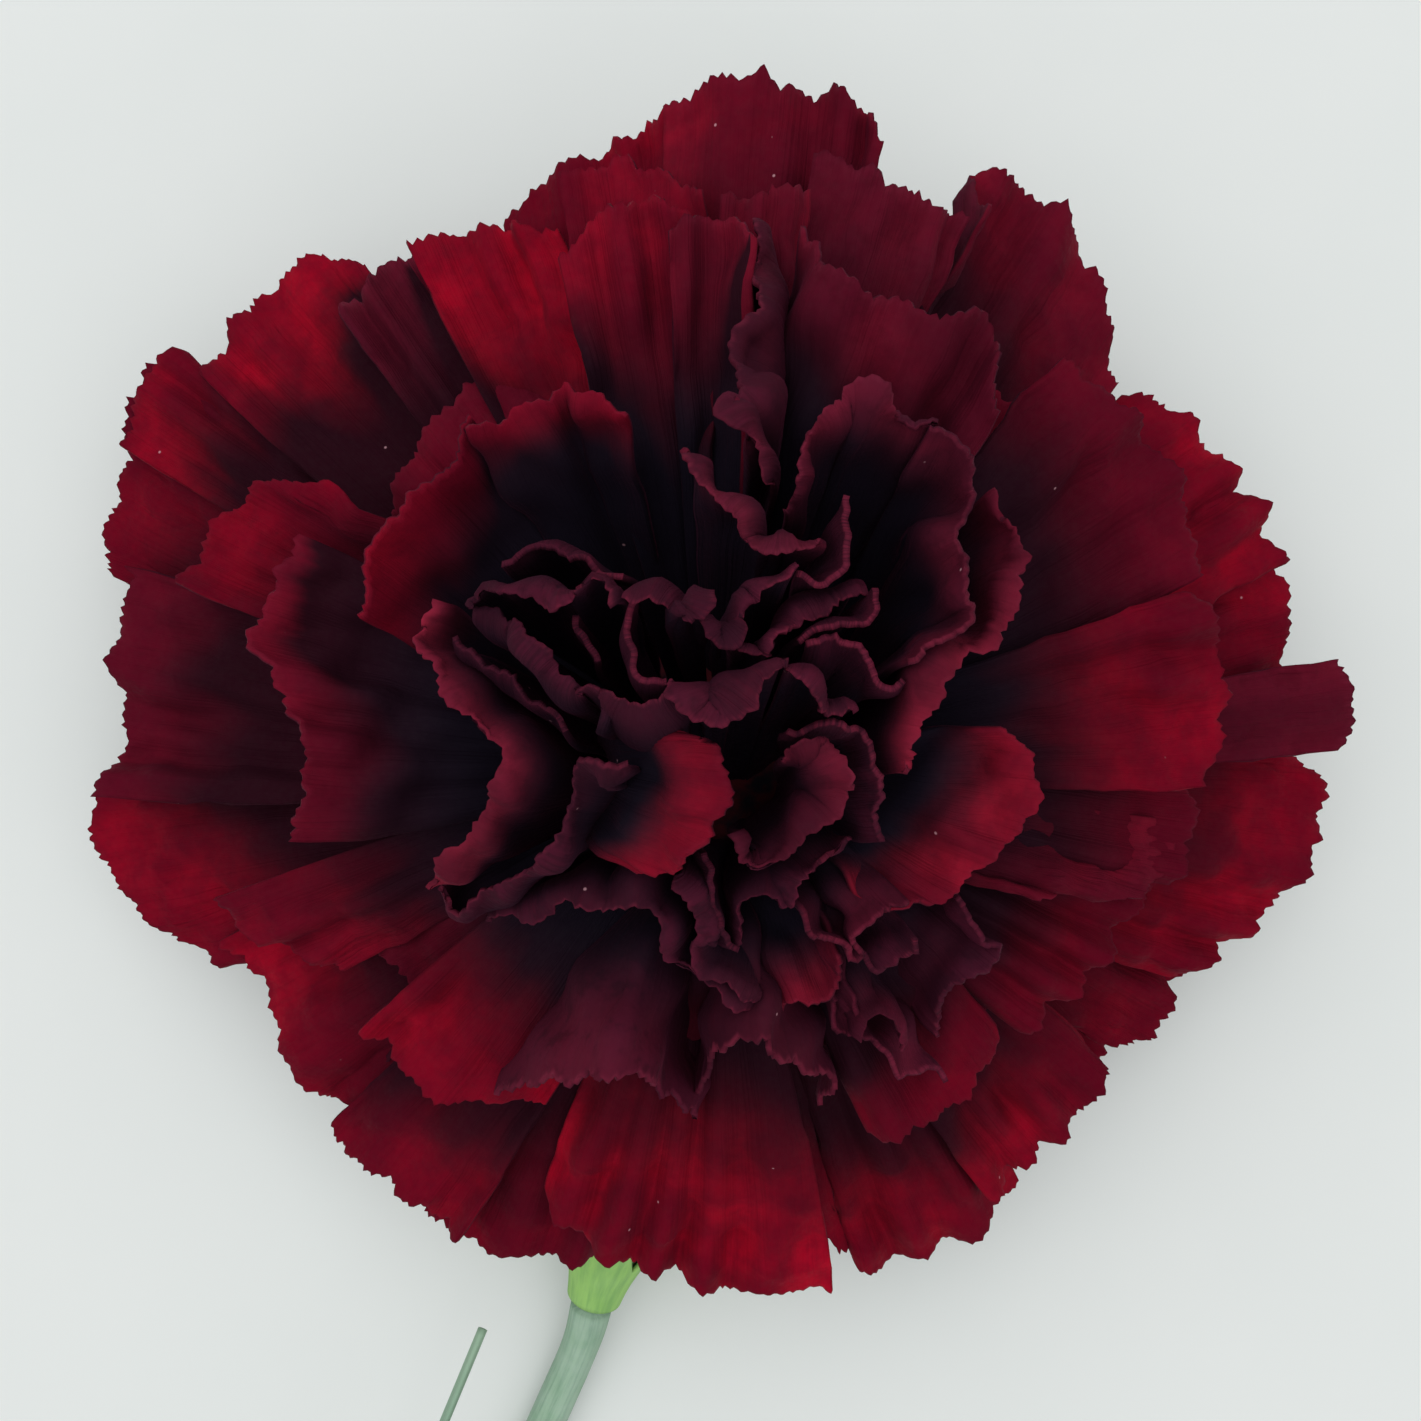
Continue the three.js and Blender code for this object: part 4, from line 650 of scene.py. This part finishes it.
def calyx_radius(distance):
    radius = CALYX_LEAST_RADIUS
    for swelling, start, end in CALYX_SWELLINGS:
        radius = radius + swelling * smooth(start, end, distance)
    return radius


def claw_bundle(material):
    """The dense heart that the petals stand out of."""
    sides = 48
    rings = []
    for stop in np.linspace(CALYX_FLOOR + 0.8, CALYX_LENGTH - 1, 12):
        radius = calyx_radius(stop) - CALYX_WALL - CLAW_GAP
        rings.append(circle(along_calyx(stop), CALYX_DIRECTION, radius, sides))
    between = unit(CALYX_DIRECTION + NECK_DIRECTION)
    mouth_level, mouth_radius = MOUTH_RING
    rings.append(circle(MOUTH + NECK_DIRECTION * mouth_level, between, mouth_radius, sides))
    for level, radius in HEART:
        rings.append(circle(MOUTH + NECK_DIRECTION * level, BLOOM_DIRECTION, radius, sides))
    ends = [np.repeat(ring.mean(axis=0)[None, :], sides, axis=0) for ring in (rings[0], rings[-1])]
    rings = [ends[0], *rings, ends[1]]
    places = np.vstack(rings)
    faces = ring_faces(len(rings), sides)
    flat = np.zeros((len(places), 2))
    piece = mesh_piece("petal_claws", places, faces, "bloom", (("petal", flat),))
    piece.data.materials.append(material)
    return piece


# The calyx, the bracts, the stem and the leaves
CALYX_ACROSS = unit(np.cross(CALYX_DIRECTION, UP))
CALYX_OVER = unit(np.cross(CALYX_ACROSS, CALYX_DIRECTION))


def calyx_place(angle, distance, radius):
    round_axis = CALYX_ACROSS * np.cos(angle)[..., None] - CALYX_OVER * np.sin(angle)[..., None]
    return CALYX_BASE + CALYX_DIRECTION * distance[..., None] + round_axis * radius[..., None]


def lobed_wall(start, rim, tip, lobes, clearance, turn, flare, sides, stops, ribs=0.0):
    """One wall of a tube round the calyx axis with pointed lobes along its far rim."""
    angle = np.linspace(0, 2 * math.pi, sides, endpoint=False)[None, :]
    stop = np.linspace(0, 1, stops)[:, None]
    lobe = np.abs((angle + turn) / (2 * math.pi) * lobes % 1 - 0.5) * 2
    distance = start + stop * (rim + (tip - rim) * lobe ** LOBE_POINT - start)
    spread = flare * smooth(rim - FLARE_LENGTH, tip, distance)
    rib = ribs * np.cos(angle * lobes * 5) * smooth(start, start + 5, distance)
    radius = calyx_radius(np.minimum(distance, CALYX_LENGTH)) + clearance + spread + rib
    angle = angle + 0 * distance
    return calyx_place(angle, distance, radius), angle / (2 * math.pi), distance


def tube_piece(name, stands_for, material, rings, around, along, closed):
    """A piece of rings round the calyx axis. A closed one joins its last ring to its first."""
    sides = rings.shape[1]
    if closed:
        rings = np.concatenate([rings, rings[:1]])
        around = np.concatenate([around, around[:1]])
        along = np.concatenate([along, along[:1]])
    places = rings.reshape(-1, 3)
    faces = ring_faces(len(rings), sides)
    if closed:
        places = places[:-sides]
        faces = faces % len(places)
    flat = np.stack([around.reshape(-1), along.reshape(-1)], axis=-1)[:len(places)]
    piece = mesh_piece(name, places, faces[:, ::-1], stands_for, (("flat", flat),))
    piece.data.materials.append(material)
    return piece


def calyx_piece(material):
    sides, stops = 150, 30
    size = {"start": CALYX_FLOOR, "rim": 24.5, "tip": 30.2, "lobes": 5, "turn": 0, "flare": 0.5,
            "sides": sides, "stops": stops}
    outer, around, along = lobed_wall(clearance=0.0, ribs=0.05, **size)
    inner, _, _ = lobed_wall(clearance=-CALYX_WALL, **size)
    angle = around[:1] * 2 * math.pi
    foot = [(0.0, AXIS_RADIUS), (0.0, CALYX_LEAST_RADIUS)]
    foot += [(distance, float(calyx_radius(distance))) for distance in (0.5, 1.2, 2.2)]
    low = []
    for distance, radius in foot:
        low.append(calyx_place(angle, np.full_like(angle, distance), np.full_like(angle, radius)))
    floor_rings = [calyx_place(angle, np.full_like(angle, CALYX_FLOOR), np.full_like(angle, AXIS_RADIUS))]
    rings = np.concatenate([*low, outer, inner[::-1], *floor_rings])
    low_along = np.zeros((len(low), sides))
    along = np.concatenate([low_along, along, along[::-1], low_along[:1]])
    around = np.tile(around[:1], (len(rings), 1))
    return tube_piece("calyx_tube", "calyx", material, rings, around, along / CALYX_LENGTH, False)


def bracts_piece(material):
    size = {"start": 0.5, "rim": 4.5, "tip": 11, "lobes": 4, "turn": 0.0, "flare": 0.3,
            "sides": 144, "stops": 22}
    outer, around, along = lobed_wall(clearance=BRACT_GAP + BRACT_THICKNESS, ribs=0.03, **size)
    inner, _, _ = lobed_wall(clearance=BRACT_GAP, **size)
    rings = np.concatenate([outer, inner[::-1]])
    around = np.concatenate([around, around])
    along = np.concatenate([along, along[::-1]])
    return tube_piece("bracts", "epicalyx", material, rings, around, along / size["tip"], True)


STEM_ROUTE = Route(STEM_PATH)


def stem_radius(share):
    swelling = sum(NODE_SWELLING * np.exp(-((share - node) / NODE_REACH) ** 2) for node in NODE_PLACES)
    receptacle = RECEPTACLE_SWELLING * (1 - smooth(0, RECEPTACLE_REACH, share))
    return STEM_RADIUS + STEM_TAPER * share + swelling + receptacle


def stem_place(share):
    place = STEM_ROUTE.at(share)
    place[..., 2] = np.maximum(place[..., 2], stem_radius(np.asarray(share)))
    return place


def stem_piece(material):
    sides, steps = 40, 300
    first = SEAT_GAP / STEM_ROUTE.length
    shares = np.linspace(first, 1, steps)
    rings = []
    for share in shares:
        ring = circle(stem_place(share), STEM_ROUTE.way(share), float(stem_radius(share)), sides)
        rings.append(ring)
    rings[-1][:, 1] += CUT_SLANT * (rings[-1][:, 2] - STEM_RADIUS - STEM_TAPER)
    ends = [np.repeat(ring.mean(axis=0)[None, :], sides, axis=0) for ring in (rings[0], rings[-1])]
    rings = np.stack([ends[0], *rings, ends[1]])
    along = np.concatenate([[0], shares, [1]])[:, None] + np.zeros((1, sides))
    around = np.zeros((len(rings), 1)) + np.linspace(0, 1, sides, endpoint=False)[None, :]
    flat = np.stack([around.reshape(-1), along.reshape(-1)], axis=-1)
    piece = mesh_piece("cut_stem", rings.reshape(-1, 3), ring_faces(len(rings), sides), "stem",
                       (("flat", flat),))
    piece.data.materials.append(material)
    return piece


def leaf_piece(shape, material):
    """A narrow leaf that clasps its stem node, channelled along its upper face."""
    rows, columns = 110, 14
    share = NODE_PLACES[shape["node"]]
    centre = stem_place(share)
    way = -STEM_ROUTE.way(share)
    across = unit(np.cross(way, UP))
    over = unit(np.cross(across, way))
    turn = math.radians(shape["side"])
    outwards = across * math.cos(turn) + over * math.sin(turn)
    seat = float(stem_radius(share)) + SEAT_GAP + LEAF_SEAT
    start = centre + outwards * seat
    route = Route([start] + [start + np.array(step) for step in shape["path"]])
    first_across = unit(np.cross(way, outwards))
    grid = np.zeros((rows + 1, columns + 1, 3))
    thickness = np.zeros((rows + 1, columns + 1))
    for row, t in enumerate(np.linspace(0, 1, rows + 1)):
        tangent = route.way(t)
        sideways = unit(first_across - tangent * first_across.dot(tangent))
        outer = unit(np.cross(sideways, tangent))
        taper = max(0.0, (t - LEAF_TAPER_FROM) / (1 - LEAF_TAPER_FROM)) ** LEAF_TAPER_POWER
        width = shape["half_width"] * (1 - (1 - LEAF_TIP) * taper)
        clasp = CLASP_AT_NODE + (CLASP_BEYOND - CLASP_AT_NODE) * float(smooth(0, CLASP_REACH, t))
        bend = max(seat, width / clasp)
        share_across = np.linspace(-1, 1, columns + 1)
        angle = share_across * (width / bend)
        keel = KEEL_HEIGHT * np.exp(-(share_across / KEEL_REACH) ** 2)
        grid[row] = (route.at(t) + sideways * (bend * np.sin(angle))[:, None]
                     - outer * (bend * (1 - np.cos(angle)))[:, None])
        thickness[row] = LEAF_THICKNESS * (1 - LEAF_THINNING * share_across ** 2) + keel
    grid[..., 2] = np.maximum(grid[..., 2], LEAF_THICKNESS / 2 + LEAF_CLEARANCE)
    normals = normals_of(grid)
    places, faces = closed_blade(grid, normals, thickness)
    u, v = np.meshgrid(np.linspace(0, 1, columns + 1), np.linspace(0, 1, rows + 1))
    flat = np.tile(np.stack([u.reshape(-1), v.reshape(-1)], axis=-1), (2, 1))
    piece = mesh_piece(shape["name"] + "_blade", places, faces, shape["name"], (("flat", flat),))
    piece.data.materials.append(material)
    return piece


# Materials
class Nodes:
    """A material's node tree, with short calls to add and join nodes."""

    def __init__(self, name):
        self.material = bpy.data.materials.new(name)
        self.material.use_nodes = True
        self.tree = self.material.node_tree
        self.shader = self.tree.nodes["Principled BSDF"]

    def add(self, kind, settings=(), **inputs):
        node = self.tree.nodes.new(kind)
        for key, value in dict(settings).items():
            setattr(node, key, value)
        for key, value in inputs.items():
            self.join(value, node, key.replace("_", " "))
        return node

    def join(self, value, node, key):
        socket = node.inputs[int(key)] if key.isdigit() else node.inputs[key]
        if isinstance(value, bpy.types.NodeSocket):
            self.tree.links.new(value, socket)
        else:
            socket.default_value = value

    def math(self, operation, first, second=0.0, third=0.0):
        node = self.tree.nodes.new("ShaderNodeMath")
        node.operation = operation
        for value, place in ((first, "0"), (second, "1"), (third, "2")):
            self.join(value, node, place)
        return node.outputs[0]

    def ramp(self, value, low, high, from_value=0.0, to_value=1.0):
        node = self.tree.nodes.new("ShaderNodeMapRange")
        node.interpolation_type = "SMOOTHSTEP"
        for key, entry in (("Value", value), ("From Min", low), ("From Max", high),
                           ("To Min", from_value), ("To Max", to_value)):
            self.join(entry, node, key)
        return node.outputs[0]

    def mix(self, share, first, second):
        node = self.tree.nodes.new("ShaderNodeMix")
        node.data_type = "RGBA"
        self.join(share, node, "0")
        for value, place in ((first, "6"), (second, "7")):
            self.join((*value, 1.0) if isinstance(value, tuple) else value, node, place)
        return node.outputs[2]

    def map(self, name):
        node = self.add("ShaderNodeUVMap", {"uv_map": name})
        parts = self.add("ShaderNodeSeparateXYZ", Vector=node.outputs[0])
        return parts.outputs[0], parts.outputs[1]

    def vector(self, x, y=0.0, z=0.0):
        return self.add("ShaderNodeCombineXYZ", X=x, Y=y, Z=z).outputs[0]

    def noise(self, vector, scale, detail=2.0, roughness=0.5):
        node = self.add("ShaderNodeTexNoise", Vector=vector, Scale=scale, Detail=detail)
        self.join(roughness, node, "Roughness")
        return node.outputs[0]

    def bump(self, height, strength, distance, base=None):
        node = self.add("ShaderNodeBump", Height=height, Strength=strength, Distance=distance)
        if base is not None:
            self.join(base, node, "Normal")
        return node.outputs[0]

    def place(self):
        return self.add("ShaderNodeTexCoord").outputs["Object"]

    def finish(self, colour, roughness, normal=None, **uniform):
        self.join(colour, self.shader, "Base Color")
        self.join(roughness, self.shader, "Roughness")
        if normal is not None:
            self.join(normal, self.shader, "Normal")
        for key, value in uniform.items():
            self.shader.inputs[key.replace("_", " ")].default_value = value
        return self.material


# Colours of the petals. The lit red and the lit pink are painted light; the deep red is painted shade and
# also the veins' colour; the heart and outer shades are painted shadow over the petals' lower parts; the
# rim pink is a painted highlight along the edges; the pale pink of the specks is painted glints and dust.
LIT_RED = (0.38, 0.0018, 0.0165)
SHADED_AND_VEIN_RED = (0.084, 0.0012, 0.0098)
PAINTED_HEART_SHADOW = (0.0092, 0.0064, 0.0130)
PAINTED_OUTER_SHADOW = (0.0205, 0.0027, 0.0072)
FLOWER_MIDDLE = (0.0239, 0.0809, 0.0)
MAUVE = (0.054, 0.0065, 0.019)
DEEP_MAUVE = (0.030, 0.005, 0.013)
PAINTED_RIM_HIGHLIGHT = (0.21, 0.020, 0.047)
LIT_PINK = (0.30, 0.020, 0.048)
GLINT_AND_DUST = (0.75, 0.40, 0.46)
CLAW_RED = (0.09, 0.006, 0.012)
SHEEN = (0.6, 0.10, 0.25, 1.0)

# Other colours
WAXY_COVER = (0.52, 0.62, 0.56)
FLOOR_TONES = ((0.733, 0.76, 0.752), (0.774, 0.79, 0.783))
SKY = (0.975, 1.0, 0.99, 1.0)

# The green skins: pale, dark and tip colours, streaks across and along, and the share of waxy cover
CALYX_SKIN = ((0.22, 0.42, 0.20), (0.12, 0.27, 0.12), (0.42, 0.55, 0.26), 60.0, 3.0, 0.25)
BRACT_SKIN = ((0.30, 0.56, 0.13), (0.20, 0.42, 0.10), (0.36, 0.50, 0.24), 22.0, 2.0, 0.12)
STEM_SKIN = ((0.26, 0.42, 0.28), (0.17, 0.31, 0.20), (0.30, 0.42, 0.24), 26.0, 30.0, 0.45)
LEAF_SKIN = ((0.24, 0.40, 0.28), (0.13, 0.26, 0.17), (0.30, 0.44, 0.31), 22.0, 3.0, 0.40)


def petal_material():
    """Velvety petals, with light and shade painted into their colour. The maps give: across and up the
    petal;
    its side, 0 on the upper face and 1 on the reverse, and 0 in a valley to 1 on a ridge; its number plus
    its painted light, and the reach of its painted shade; how mauve it is, and its more shaded side."""
    nodes = Nodes("velvet_petal")
    across, up = nodes.map("petal")
    side, valley = nodes.map("side")
    numbered, shade = nodes.map("painted_light")
    mauve, shaded_side = nodes.map("mauve")
    painted_light = nodes.math("FRACT", numbered)
    number = nodes.math("MULTIPLY", nodes.math("FLOOR", numbered), 7.31)
    place = nodes.place()

    def streaks(across_scale, up_scale, detail, roughness=0.5):
        wide = nodes.math("MULTIPLY", across, across_scale)
        high = nodes.math("MULTIPLY", up, up_scale)
        return nodes.noise(nodes.vector(wide, high, number), 1.0, detail, roughness)

    broad = streaks(2.2, 2.2, 2.0)
    veins = streaks(46.0, 1.8, 2.0, 0.62)
    fine = streaks(120.0, 5.0, 1.0)
    # patches of painted shadow, as cast by neighbouring petals
    shadow_patches = nodes.noise(place, 120.0, 2.0)
    mottle = nodes.noise(place, 620.0, 3.0, 0.65)
    grain = nodes.noise(place, 2600.0, 1.0)
    # the painted shadow low on the petals is darkest and bluest in the heart and turns lighter from 12 to
    # 22 mm out from the flower's middle
    plan = nodes.add("ShaderNodeVectorMath", {"operation": "MULTIPLY"})
    nodes.join(place, plan, "0")
    nodes.join((1.0, 1.0, 0.0), plan, "1")
    away = nodes.add("ShaderNodeVectorMath", {"operation": "DISTANCE"})
    nodes.join(plan.outputs[0], away, "0")
    nodes.join(FLOWER_MIDDLE, away, "1")
    root = nodes.mix(nodes.ramp(away.outputs["Value"], 0.012, 0.022), PAINTED_HEART_SHADOW, PAINTED_OUTER_SHADOW)

    # How lit each face is painted: the petal's own random variation, painted shade in the fold valleys,
    # the patches of painted shadow, its mottle, and the petal's own painted light
    lit = nodes.ramp(broad, 0.28, 0.62, 0.4, 1.0)
    lit = nodes.math("MULTIPLY", lit, nodes.ramp(valley, 0.0, 0.8, 0.4, 1.0))
    lit = nodes.math("MULTIPLY", lit, nodes.ramp(shadow_patches, 0.36, 0.58, 0.4, 1.0))
    lit = nodes.math("MULTIPLY", lit, nodes.ramp(mottle, 0.3, 0.65, 0.6, 1.0))
    lit = nodes.math("MULTIPLY", lit, nodes.ramp(painted_light, 0.1, 0.95, 0.13, 1.35))
    dull = nodes.mix(nodes.ramp(broad, 0.38, 0.58), DEEP_MAUVE, MAUVE)
    dull = nodes.mix(nodes.ramp(mottle, 0.5, 0.35), dull, DEEP_MAUVE)
    # Lit and painted-shade copies of the petal's colour, chosen by how mauve it is; the painted light
    # mixes between them
    shaded_colour = nodes.mix(mauve, SHADED_AND_VEIN_RED, dull)
    lit_colour = nodes.mix(mauve, LIT_RED, LIT_PINK)
    red = nodes.mix(lit, shaded_colour, lit_colour)
    red = nodes.mix(nodes.ramp(veins, 0.5, 0.8, 0.0, 0.16), red, SHADED_AND_VEIN_RED)
    # The reverse: dull mauve with veins, lifted towards the lit colour by the same painted light at 0.7
    back = nodes.mix(nodes.ramp(veins, 0.35, 0.65), dull, DEEP_MAUVE)
    back = nodes.mix(nodes.math("MULTIPLY", lit, 0.7), back, lit_colour)
    colour = nodes.mix(nodes.ramp(side, 0.55, 0.85), red, back)
    # Painted shade over each petal's lower part, where the petals above would shade it: up to a reach that
    # is longer on its shaded side and wanders with the random variation, its colour turns to the painted
    # shadow.
    sideways = nodes.math("MULTIPLY", shaded_side, nodes.math("MULTIPLY_ADD", across, 0.8, -0.4))
    sideways = nodes.math("MAXIMUM", sideways, 0.0)
    wander = nodes.math("SUBTRACT", nodes.math("ADD", shade, sideways), 0.3)
    wander = nodes.math("MULTIPLY_ADD", broad, 0.35, wander)
    full = nodes.math("MULTIPLY_ADD", wander, 0.12, 0.88)
    colour = nodes.mix(nodes.ramp(up, wander, full, 1.0, 0.0), colour, root)
    # Painted shade in crevices: where ambient occlusion finds surfaces close by, the colour turns towards
    # the same painted shadow.
    painted_crevice_shade = nodes.add("ShaderNodeAmbientOcclusion", {"samples": 1}, Distance=0.005)
    colour = nodes.mix(nodes.ramp(painted_crevice_shade.outputs["AO"], 0.0, 1.0, 0.62, 0.0), colour, root)
    # A painted highlight along the very edge, broken up by the veins and the shadow patches, stronger on
    # mauve petals.
    pale = nodes.math("MULTIPLY", nodes.ramp(up, 0.98, 1.0), nodes.ramp(veins, 0.35, 0.65, 0.1, 0.8))
    pale = nodes.math("MULTIPLY", pale, nodes.ramp(shadow_patches, 0.35, 0.6, 0.3, 1.0))
    pale = nodes.math("MULTIPLY", pale, nodes.ramp(mauve, 0.0, 1.0, 0.1, 0.6))
    colour = nodes.mix(pale, colour, PAINTED_RIM_HIGHLIGHT)
    # Pale pink specks over the petals: painted glints and dust.
    dots = nodes.add("ShaderNodeTexVoronoi", Vector=place, Scale=620.0)
    parts = nodes.add("ShaderNodeSeparateColor", Color=dots.outputs["Color"])
    chosen = nodes.math("GREATER_THAN", parts.outputs[0], 0.86)
    glint_and_dust_mask = nodes.math("MULTIPLY", nodes.ramp(dots.outputs["Distance"], 0.03, 0.07, 0.5, 0.0), chosen)
    colour = nodes.mix(glint_and_dust_mask, colour, GLINT_AND_DUST)

    height = nodes.math("MULTIPLY_ADD", fine, 0.35, veins)
    normal = nodes.bump(height, 0.6, 0.00018)
    normal = nodes.bump(grain, 0.4, 0.00006, normal)
    roughness = nodes.ramp(grain, 0.3, 0.7, 0.7, 0.9)
    return nodes.finish(colour, roughness, normal, Sheen_Weight=0.05, Sheen_Roughness=0.35,
                        Sheen_Tint=SHEEN, Specular_IOR_Level=0.04)


def core_material():
    nodes = Nodes("petal_claw")
    place = nodes.place()
    streaks = nodes.noise(place, 900.0, 3.0)
    # The claws: streaks of their own red between the painted shadow of the heart.
    colour = nodes.mix(nodes.ramp(streaks, 0.35, 0.65), PAINTED_HEART_SHADOW, CLAW_RED)
    return nodes.finish(colour, 0.85, nodes.bump(streaks, 0.5, 0.0003), Specular_IOR_Level=0.2)


def green_material(name, pale, dark, tip, streaks, stretch, waxy):
    """A waxy green: streaks, a pale waxy cover in patches, and a second colour at the tip."""
    nodes = Nodes(name)
    across, up = nodes.map("flat")
    place = nodes.place()
    wide = nodes.math("MULTIPLY", across, streaks)
    high = nodes.math("MULTIPLY", up, stretch)
    lines = nodes.noise(nodes.vector(wide, high), 1.0, 3.0, 0.6)
    cover = nodes.noise(place, 160.0, 4.0, 0.6)
    grain = nodes.noise(place, 3200.0, 2.0)
    colour = nodes.mix(nodes.ramp(lines, 0.35, 0.68), pale, dark)
    colour = nodes.mix(nodes.ramp(cover, 0.35, 0.75, 0.0, waxy), colour, WAXY_COVER)
    colour = nodes.mix(nodes.ramp(up, 0.8, 1.0, 0.0, 0.7), colour, tip)
    normal = nodes.bump(lines, 0.5, 0.00025)
    normal = nodes.bump(grain, 0.35, 0.00005, normal)
    roughness = nodes.ramp(cover, 0.3, 0.7, 0.55, 0.75)
    return nodes.finish(colour, roughness, normal, Specular_IOR_Level=0.35)


def floor_material():
    nodes = Nodes("pale_floor")
    grain = nodes.noise(nodes.place(), 60.0, 4.0)
    colour = nodes.mix(grain, *FLOOR_TONES)
    return nodes.finish(colour, 0.95, Specular_IOR_Level=0.1)


# The camera, the floor and the light
SENSOR_WIDTH = 36.0
FOCAL_PIXELS = 1700
PHOTO_PIXELS = 1421
NEAREST = 0.005
FLOOR_REACH = 1.5
LAMP_AIM_HEIGHT = 0.02
SKY_STRENGTH = 0.56


def camera():
    data = bpy.data.cameras.new("camera")
    data.sensor_width = SENSOR_WIDTH
    data.lens = SENSOR_WIDTH * FOCAL_PIXELS / PHOTO_PIXELS
    data.clip_start = NEAREST
    eye = bpy.data.objects.new("camera", data)
    eye.location = (ORIGIN_SHIFT + UP * EYE_HEIGHT) * MM
    link_in(eye)
    bpy.context.scene.camera = eye


def floor():
    mesh = bpy.data.meshes.new("floor")
    signs = ((-1, -1), (1, -1), (1, 1), (-1, 1))
    corners = [(x * FLOOR_REACH, y * FLOOR_REACH, 0) for x, y in signs]
    mesh.from_pydata(corners, [], [(0, 1, 2, 3)])
    mesh.materials.append(floor_material())
    ground = bpy.data.objects.new("floor", mesh)
    link_in(ground)


def lamp(name, where, energy, size):
    data = bpy.data.lights.new(name, "AREA")
    data.energy = energy
    data.size = size
    light = bpy.data.objects.new(name, data)
    centre = Vector((ORIGIN_SHIFT[0] * MM, ORIGIN_SHIFT[1] * MM, LAMP_AIM_HEIGHT))
    light.location = centre + Vector(where)
    light.rotation_euler = Vector(where).to_track_quat("Z", "Y").to_euler()
    link_in(light)


def world():
    sky = bpy.data.worlds.new("studio")
    sky.use_nodes = True
    background = sky.node_tree.nodes["Background"]
    background.inputs["Color"].default_value = SKY
    background.inputs["Strength"].default_value = SKY_STRENGTH
    bpy.context.scene.world = sky


camera()
floor()
lamp("key", (-0.22, 0.26, 1.0), 7.7, 1.5)
lamp("fill", (0.45, -0.30, 0.9), 1.5, 0.9)
world()
bpy.context.scene.view_settings.view_transform = "Standard"
bpy.context.scene.view_settings.look = "None"

# The pieces
PETAL = petal_material()
CALYX_GREEN = green_material("calyx_skin", *CALYX_SKIN)
BRACT_GREEN = green_material("bract_skin", *BRACT_SKIN)
STEM_GREEN = green_material("stem_skin", *STEM_SKIN)
LEAF_GREEN = green_material("leaf_skin", *LEAF_SKIN)

first_seed = 1
for layer in LAYERS:
    petals_piece(layer["name"], layer, first_seed, PETAL)
    first_seed += len(layer["petals"])
claw_bundle(core_material())
calyx_piece(CALYX_GREEN)
bracts_piece(BRACT_GREEN)
stem_piece(STEM_GREEN)
for shape in LEAVES:
    leaf_piece(shape, LEAF_GREEN)
